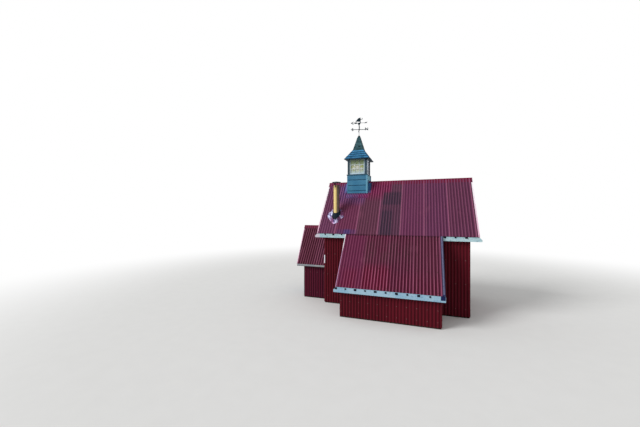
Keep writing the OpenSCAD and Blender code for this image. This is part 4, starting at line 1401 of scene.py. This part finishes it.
nail_in = 0.02
nail_up = 0.03
nail_size = (0.32, 0.32, 0.5)
nail_spots = []
for side in (-1, 1):
    for hand in (-1, 1):
        for low in board_lows:
            height = max(low, roof_height(cupola_half)) + nail_up
            place = Vector((cupola_x + hand * (inset - nail_in), side * (cupola_half - board_face), height))
            nail_spots.append(spot(place, Vector((0, side, 0)), None, nail_size))
fit(grown("board_nails", screw_tree, nail_spots, screw_finish), screw_finish)


# Above the boards a glazed lantern stands on a weathered sill: four dark posts, white
# window frames with small panes, and a dark boarded soffit.
dress(
    painted_wood("dark_post_paint", (46, 64, 72), (66, 88, 102), (28, 38, 40), (40, 40, 3), 0.5, 0.001),
    "cupola_posts", "cupola_soffit",
)
dress(
    painted_wood("sill_paint", (46, 72, 86), (66, 96, 112), (28, 40, 48), (3, 3, 60), 0.5, 0.001),
    "cupola_sill",
)


def shaded_side(made, colour, where, clouds):
    """White with painted shade below the eaves and a painted highlight at its foot; painted light and shade
    on the gable faces.
    """
    along, back, height = made.axes(where)
    gable = along.smooth(cupola_x + 0.246, cupola_x + 0.252)
    # Painted shade at the top, a painted bluish highlight at the foot, darker towards the left stile and
    # paler towards the right; on the gable faces painted shade, a painted lit strip across the middle and a
    # painted dark line of shade by the right-hand corner.
    return made.over(
        colour, (height.smooth(4.17, 4.3) * 0.85, (84, 102, 80)),
        (height.smooth(4, 3.92) * 0.6, (184, 214, 236)),
        (along.smooth(cupola_x - 0.2, cupola_x - 0.215) * 0.5, (126, 150, 164)),
        (along.smooth(cupola_x + 0.2, cupola_x + 0.215) * 0.5, (166, 192, 210)),
        (gable * 0.9, (52, 66, 92)),
        (back.between(-0.15, 0.12, 0.02) * gable, (236, 246, 255)),
        (along.between(cupola_x + 0.234, cupola_x + 0.246, 0.003) * 0.85, (60, 70, 92)),
    )


dress(painted_wood(
    "window_white", (196, 210, 212), (220, 228, 226), (112, 126, 130), (30, 30, 4), 0.4,
    0.0008, shaded_side,
), "cupola_window_frames")

# The glass is painted with the green of foliage seen in it, painted shade below the eaves, a painted pale
# highlight at its foot, and painted shade with a painted lit strip on the gable faces.
panes = Finish("window_panes")
where = panes.place()
grime = panes.speckle(where, 11)
tint = panes.speckle(where, 5, 2)
x, y, z = panes.axes(where)
from_middle = panes.maths("ABSOLUTE", x - cupola_x)
gable = from_middle.smooth(0.22, 0.24)
painted_lit_glass = panes.mix(z.smooth(4, 4.16), (160, 182, 184), (226, 242, 255))
colour = panes.over(
    (176, 184, 120), (tint.smooth(0.4, 0.6), (200, 194, 166)),
    (grime.smooth(0.42, 0.6), (206, 206, 204)),
    (from_middle.smooth(0.11, 0.2) * 0.5, (110, 136, 96)),
    (z.smooth(4.13, 4.24) * 0.85, (114, 136, 88)), (z.smooth(4.03, 3.95) * 0.6, (186, 212, 220)),
    (gable * 0.9, (52, 70, 92)), (gable * y.between(-0.15, 0.12, 0.02), painted_lit_glass),
)
clear = grime.smooth(0.3, 0.7) * 0.12 + 0.82
panes.close(colour, grime * 0.12 + 0.05, specular=0.4, Alpha=clear)
dress(panes, "cupola_glass")


# The cupola's roof is shingled: blue painted shingles on the flared skirt and grey green
# slates on the spire, cut to the hips, which narrow strips cover up to a dark cap.
def shingle_shape(graph, sizes):
    """A shingle one unit wide and long whose butt is thick and whose head is thin."""
    slab = graph.node("GeometryNodeMeshCube", None, {"Size": (1, 1, 1)})
    x, y, z = graph.axes(graph.node("GeometryNodeInputPosition"))
    up = y + 0.5
    high = (z + 0.5) * (1 - up * sizes["Taper"]) * sizes["Thickness"]
    moved = graph.node("ShaderNodeCombineXYZ", None, {"X": x, "Y": up, "Z": high})
    marked = graph.node(
        "GeometryNodeStoreNamedAttribute", {"data_type": "FLOAT", "domain": "POINT"},
        {"Geometry": slab, "Name": "up_its_length", "Value": up},
    )
    return graph.node("GeometryNodeSetPosition", None, {"Geometry": marked, "Position": moved})


shingle_tree = growth_tree("shingles", shingle_shape, {"Thickness": 0.008, "Taper": 0.7})
chance = random.Random(5)
shingle_gap = 0.0035


def shingled(name, foot, top, tones, wide_low, wide_top, butt, nominal, finish, thick):
    """Shingles in courses with a tone each: one side grown, cut along the hips and carried round."""
    spots = []
    courses = len(tones)
    step = (top - foot) / courses
    for i in range(courses):
        w0 = wide_low + (wide_top - wide_low) * i / courses + butt
        w1 = wide_low + (wide_top - wide_low) * (i + 1) / courses
        rise = Vector((0, w0 - w1, step))
        out = to_right.cross(rise)
        count = max(2, round(2 * w0 / nominal))
        width = 2 * (w0 + 0.01) / count
        for k in range(-1, count + 1):
            x = -w0 - 0.01 + (k + 0.5 + (0.5 if i % 2 else 0)) * width
            slip = 0.004 + chance.uniform(-0.004, 0.004)
            place = Vector((x, -w0, foot + step * i)) - rise.normalized() * slip + out.normalized() * 0.0006
            size = (width - shingle_gap, rise.length * 1.22, chance.uniform(0.8, 1.2))
            spots.append(spot(place, out, to_right, size, tones[i] + chance.uniform(-0.3, 0.3)))
    side = grown(name + "_side", shingle_tree, spots, finish, {"Thickness": thick})
    work = bmesh.new()
    work.from_mesh(side)
    for hand in (-1, 1):
        bmesh.ops.bisect_plane(
            work, geom=[*work.verts, *work.edges, *work.faces], plane_co=(0, 0, 0),
            plane_no=(hand, 1, 0), clear_outer=True,
        )
        bmesh.ops.holes_fill(work, edges=[edge for edge in work.edges if edge.is_boundary], sides=0)
    work.to_mesh(side)
    bmesh.ops.delete(work, geom=list(work.verts), context="VERTS")
    for quarter in range(4):
        start = len(work.verts)
        work.from_mesh(side)
        work.verts.ensure_lookup_table()
        turn = Matrix.Rotation(pi / 2 * quarter, 3, "Z")
        bmesh.ops.rotate(work, verts=work.verts[start:], cent=(0, 0, 0), matrix=turn)
    bmesh.ops.translate(work, verts=work.verts, vec=(cupola_x, 0, 0))
    bmesh.ops.recalc_face_normals(work, faces=work.faces)
    whole = bpy.data.meshes.new(name)
    work.to_mesh(whole)
    work.free()
    bpy.data.meshes.remove(side)
    for label in ("turn", "size"):
        if label in whole.attributes:
            whole.attributes.remove(whole.attributes[label])
    fit(whole, finish)


def shingle_finish(name, pale, deep, grain_and_butt_shade):
    """Each shingle has its own tone, with grain down its length, a little lichen and painted shade along
    its butt.
    """
    made = Finish(name)
    where = made.place()
    grain = made.speckle(where, (60, 60, 12), 5)
    tone = made.read("tone", "Fac") * 0.9 + made.speckle(where, 6, 5) * 0.5 - 0.2
    # Darker towards each shingle's butt: painted shade along the butt line of each course.
    butt = made.read("up_its_length", "Fac").smooth(0.3, 0.1)
    coats = (tone.clamp(), pale), (grain.smooth(0.56, 0.7) * 0.5, grain_and_butt_shade), (butt * 0.85, grain_and_butt_shade)
    return made.close(made.over(deep, *coats), grain * 0.3 + 0.45, grain)


skirt_low, skirt_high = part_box("cupola_skirt")
spire_low, spire_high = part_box("cupola_spire")
eaves_half = skirt_high.y
knee_half = 0.163
knee = spire_low.z
spire_tip = spire_high.z - 0.048
tip_half = 0.034
blue_shingles = shingle_finish("blue_shingles", (78, 148, 194), (32, 92, 130), (12, 48, 74))
green_slates = shingle_finish("green_slates", (80, 118, 126), (36, 72, 80), (16, 38, 46))
shingled(
    "skirt_shingles", skirt_low.z, knee, (0.2, 0.55, 0.35, 0.9), eaves_half - 0.008, knee_half, 0.008,
    0.088, blue_shingles, 0.009,
)
shingled(
    "spire_slates", knee, spire_tip, (0.3, 0.5, 0.4, 0.6, 0.7, 0.6, 0.5, 0.4, 0.4), knee_half, tip_half,
    0.005, 0.07, green_slates, 0.005,
)
skirt_paint = painted_wood("skirt_paint", (40, 88, 130), (58, 116, 156), (24, 52, 80), (5, 5, 60))
dress(skirt_paint, "cupola_skirt")
spire_stone = painted_wood("spire_stone", (58, 84, 86), (76, 104, 104), (36, 52, 52), (5, 5, 60))
dress(spire_stone, "cupola_spire")

hips = Shells()
for turn in range(4):
    angle = pi / 4 + pi / 2 * turn
    outward = Vector((cos(angle), sin(angle), 0)) * sqrt(2)
    for low, high, wide_low, wide_top, radius, colour in (
        (skirt_low.z, knee, eaves_half - 0.004, knee_half + 0.006, 0.008, paint(40, 92, 132)),
        (knee, spire_tip - 0.01, knee_half + 0.003, tip_half + 0.004, 0.005, paint(40, 64, 68)),
    ):
        start = Vector((cupola_x, 0, low + 0.004)) + outward * wide_low
        end = Vector((cupola_x, 0, high + 0.004)) + outward * wide_top
        hips.rod([start.lerp(end, share / 4) for share in range(5)], radius, 8, colour)
hip_coat = plain_coat("hip_coat", 0.5, 30, 0.3)
fit(hips.mesh("cupola_hips"), hip_coat, smooth=50)

tip = Shells()
tip.turned(
    [(0.0075, 0.0475), (0.0185, 0.0465), (0.0325, 0.037), (0.0355, 0.0135), (0.0455, 0.0065),
     (0.0465, -0.018), (0.043, -0.018), (0.03, -0.004), (0.0075, -0.004)],
    upright(cupola_x, 0, spire_tip), 40, paint(12, 42, 52),
)
fit(tip.mesh("spire_cap"), hip_coat, smooth=40)


# The weathervane and the compass below it are black painted iron, greyed by the weather.
# The letters are cut from flat bar and welded on the ends of the arms.
iron_black = mottled(
    "weathered_black_iron", 26, (22, 40, 50), (58, 76, 84), (0.45, 0.7), 0.4, 0.0006, 5
)
dress(iron_black, "weathervane", "compass_arms")

arm_height = 5.366
arm_turn = radians(16)
letter_bar = 0.02
letter_thick = 0.004


def bow(height, first, last, step):
    """Points round one bow of the S, by their angles in degrees."""
    turns = [radians(angle) for angle in range(first, last, step)]
    return [(0.5 + 0.5 * cos(turn), height + 0.25 * sin(turn)) for turn in turns]


letters = Shells()
for turn, hand, start, wide, low, high, strokes in (
    (0, 1, 0.204, 0.076, -0.02, 0.052, [[(0, 0), (0, 1), (1, 0), (1, 1)]]),
    (1, 1, 0.19, 0.078, -0.036, 0.036, [[(0, 1), (0.25, 0), (0.5, 0.7), (0.75, 0), (1, 1)]]),
    (2, -1, -0.224, 0.028, -0.036, 0.036, [bow(0.75, 30, 271, 30) + bow(0.25, 60, -151, -30)]),
    (3, 1, 0.2, 0.052, -0.036, 0.036, [[(1, 0), (0, 0), (0, 1), (1, 1)], [(0, 0.5), (0.8, 0.5)]]),
):
    angle = pi / 2 * turn + arm_turn
    along = Vector((cos(angle), sin(angle), 0)) * hand
    across = Vector((-along.y, along.x, 0))
    for stroke in strokes:
        for first, last in zip(stroke, stroke[1:]):
            ends = [Vector((start + wide * a, low + (high - low) * b)) for a, b in (first, last)]
            run = (ends[1] - ends[0]).normalized() * letter_bar / 2
            thick = Vector((-run.y, run.x))
            ends = [ends[0] - run * 0.8, ends[1] + run * 0.8]
            letters.prism(
                [ends[0] - thick, ends[1] - thick, ends[1] + thick, ends[0] + thick],
                lambda a, b, depth: Vector((cupola_x, 0, arm_height + b)) + along * a + across * depth,
                -letter_thick / 2, letter_thick / 2,
            )
fit(letters.mesh("compass_letters"), iron_black, bevel=0.0006)


# The porch door is ledged and boarded, painted the blue of the cupola, in a pale frame.
# It hangs on two black strap hinges and shuts with a ring latch.
dress(
    painted_wood("door_paint", (62, 112, 142), (88, 134, 156), (38, 66, 88), (60, 60, 3), 0.45, 0.001),
    "porch_door",
)
dress(fascia_paint, "porch_door_frame")
leaf_low, leaf_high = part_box("porch_door")
hinge_heights = (leaf_low.z + 0.24, leaf_high.z - 0.22)
hinge_half = [(0, 0.02), (0.06, 0.017), (0.32, 0.009), (0.34, 0.014)]
hinge = [(a, -b) for a, b in hinge_half] + [(0.36, 0)] + hinge_half[::-1]
ring = 0.024
ironwork = Shells()
bolt_spots = []
for height in hinge_heights:
    ironwork.prism(
        hinge, lambda a, b, depth: Vector((leaf_low.x - depth, leaf_high.y - a, height + b)), 0.0003, 0.0045
    )
    pin = Vector((leaf_low.x - 0.005, leaf_high.y + 0.003, height))
    ironwork.rod([pin + Vector((0, 0, rise)) for rise in (-0.034, 0.034)], 0.006)
    for reach in (0.03, 0.13, 0.24):
        place = Vector((leaf_low.x - 0.005, leaf_high.y - reach, height))
        bolt_spots.append(spot(place, to_left, None, (0.4, 0.4, 0.6)))
latch = Vector((leaf_low.x - 0.001, leaf_low.y + 0.06, leaf_low.z + 0.92))
ironwork.prism(
    [(-0.018, -0.05), (0.018, -0.05), (0.018, 0.05), (0, 0.062), (-0.018, 0.05)],
    lambda a, b, depth: latch + Vector((-depth, a, b)), 0, 0.003,
)
turns = [2 * pi * k / 24 for k in range(24)]
loop = [latch + Vector((-0.009, ring * sin(turn), ring * cos(turn) - 0.012)) for turn in turns]
ironwork.rod(loop, 0.003, 8)
fit(ironwork.mesh("door_ironwork"), iron_black, bevel=0.0008)
fit(grown("door_bolts", screw_tree, bolt_spots, iron_black), iron_black)
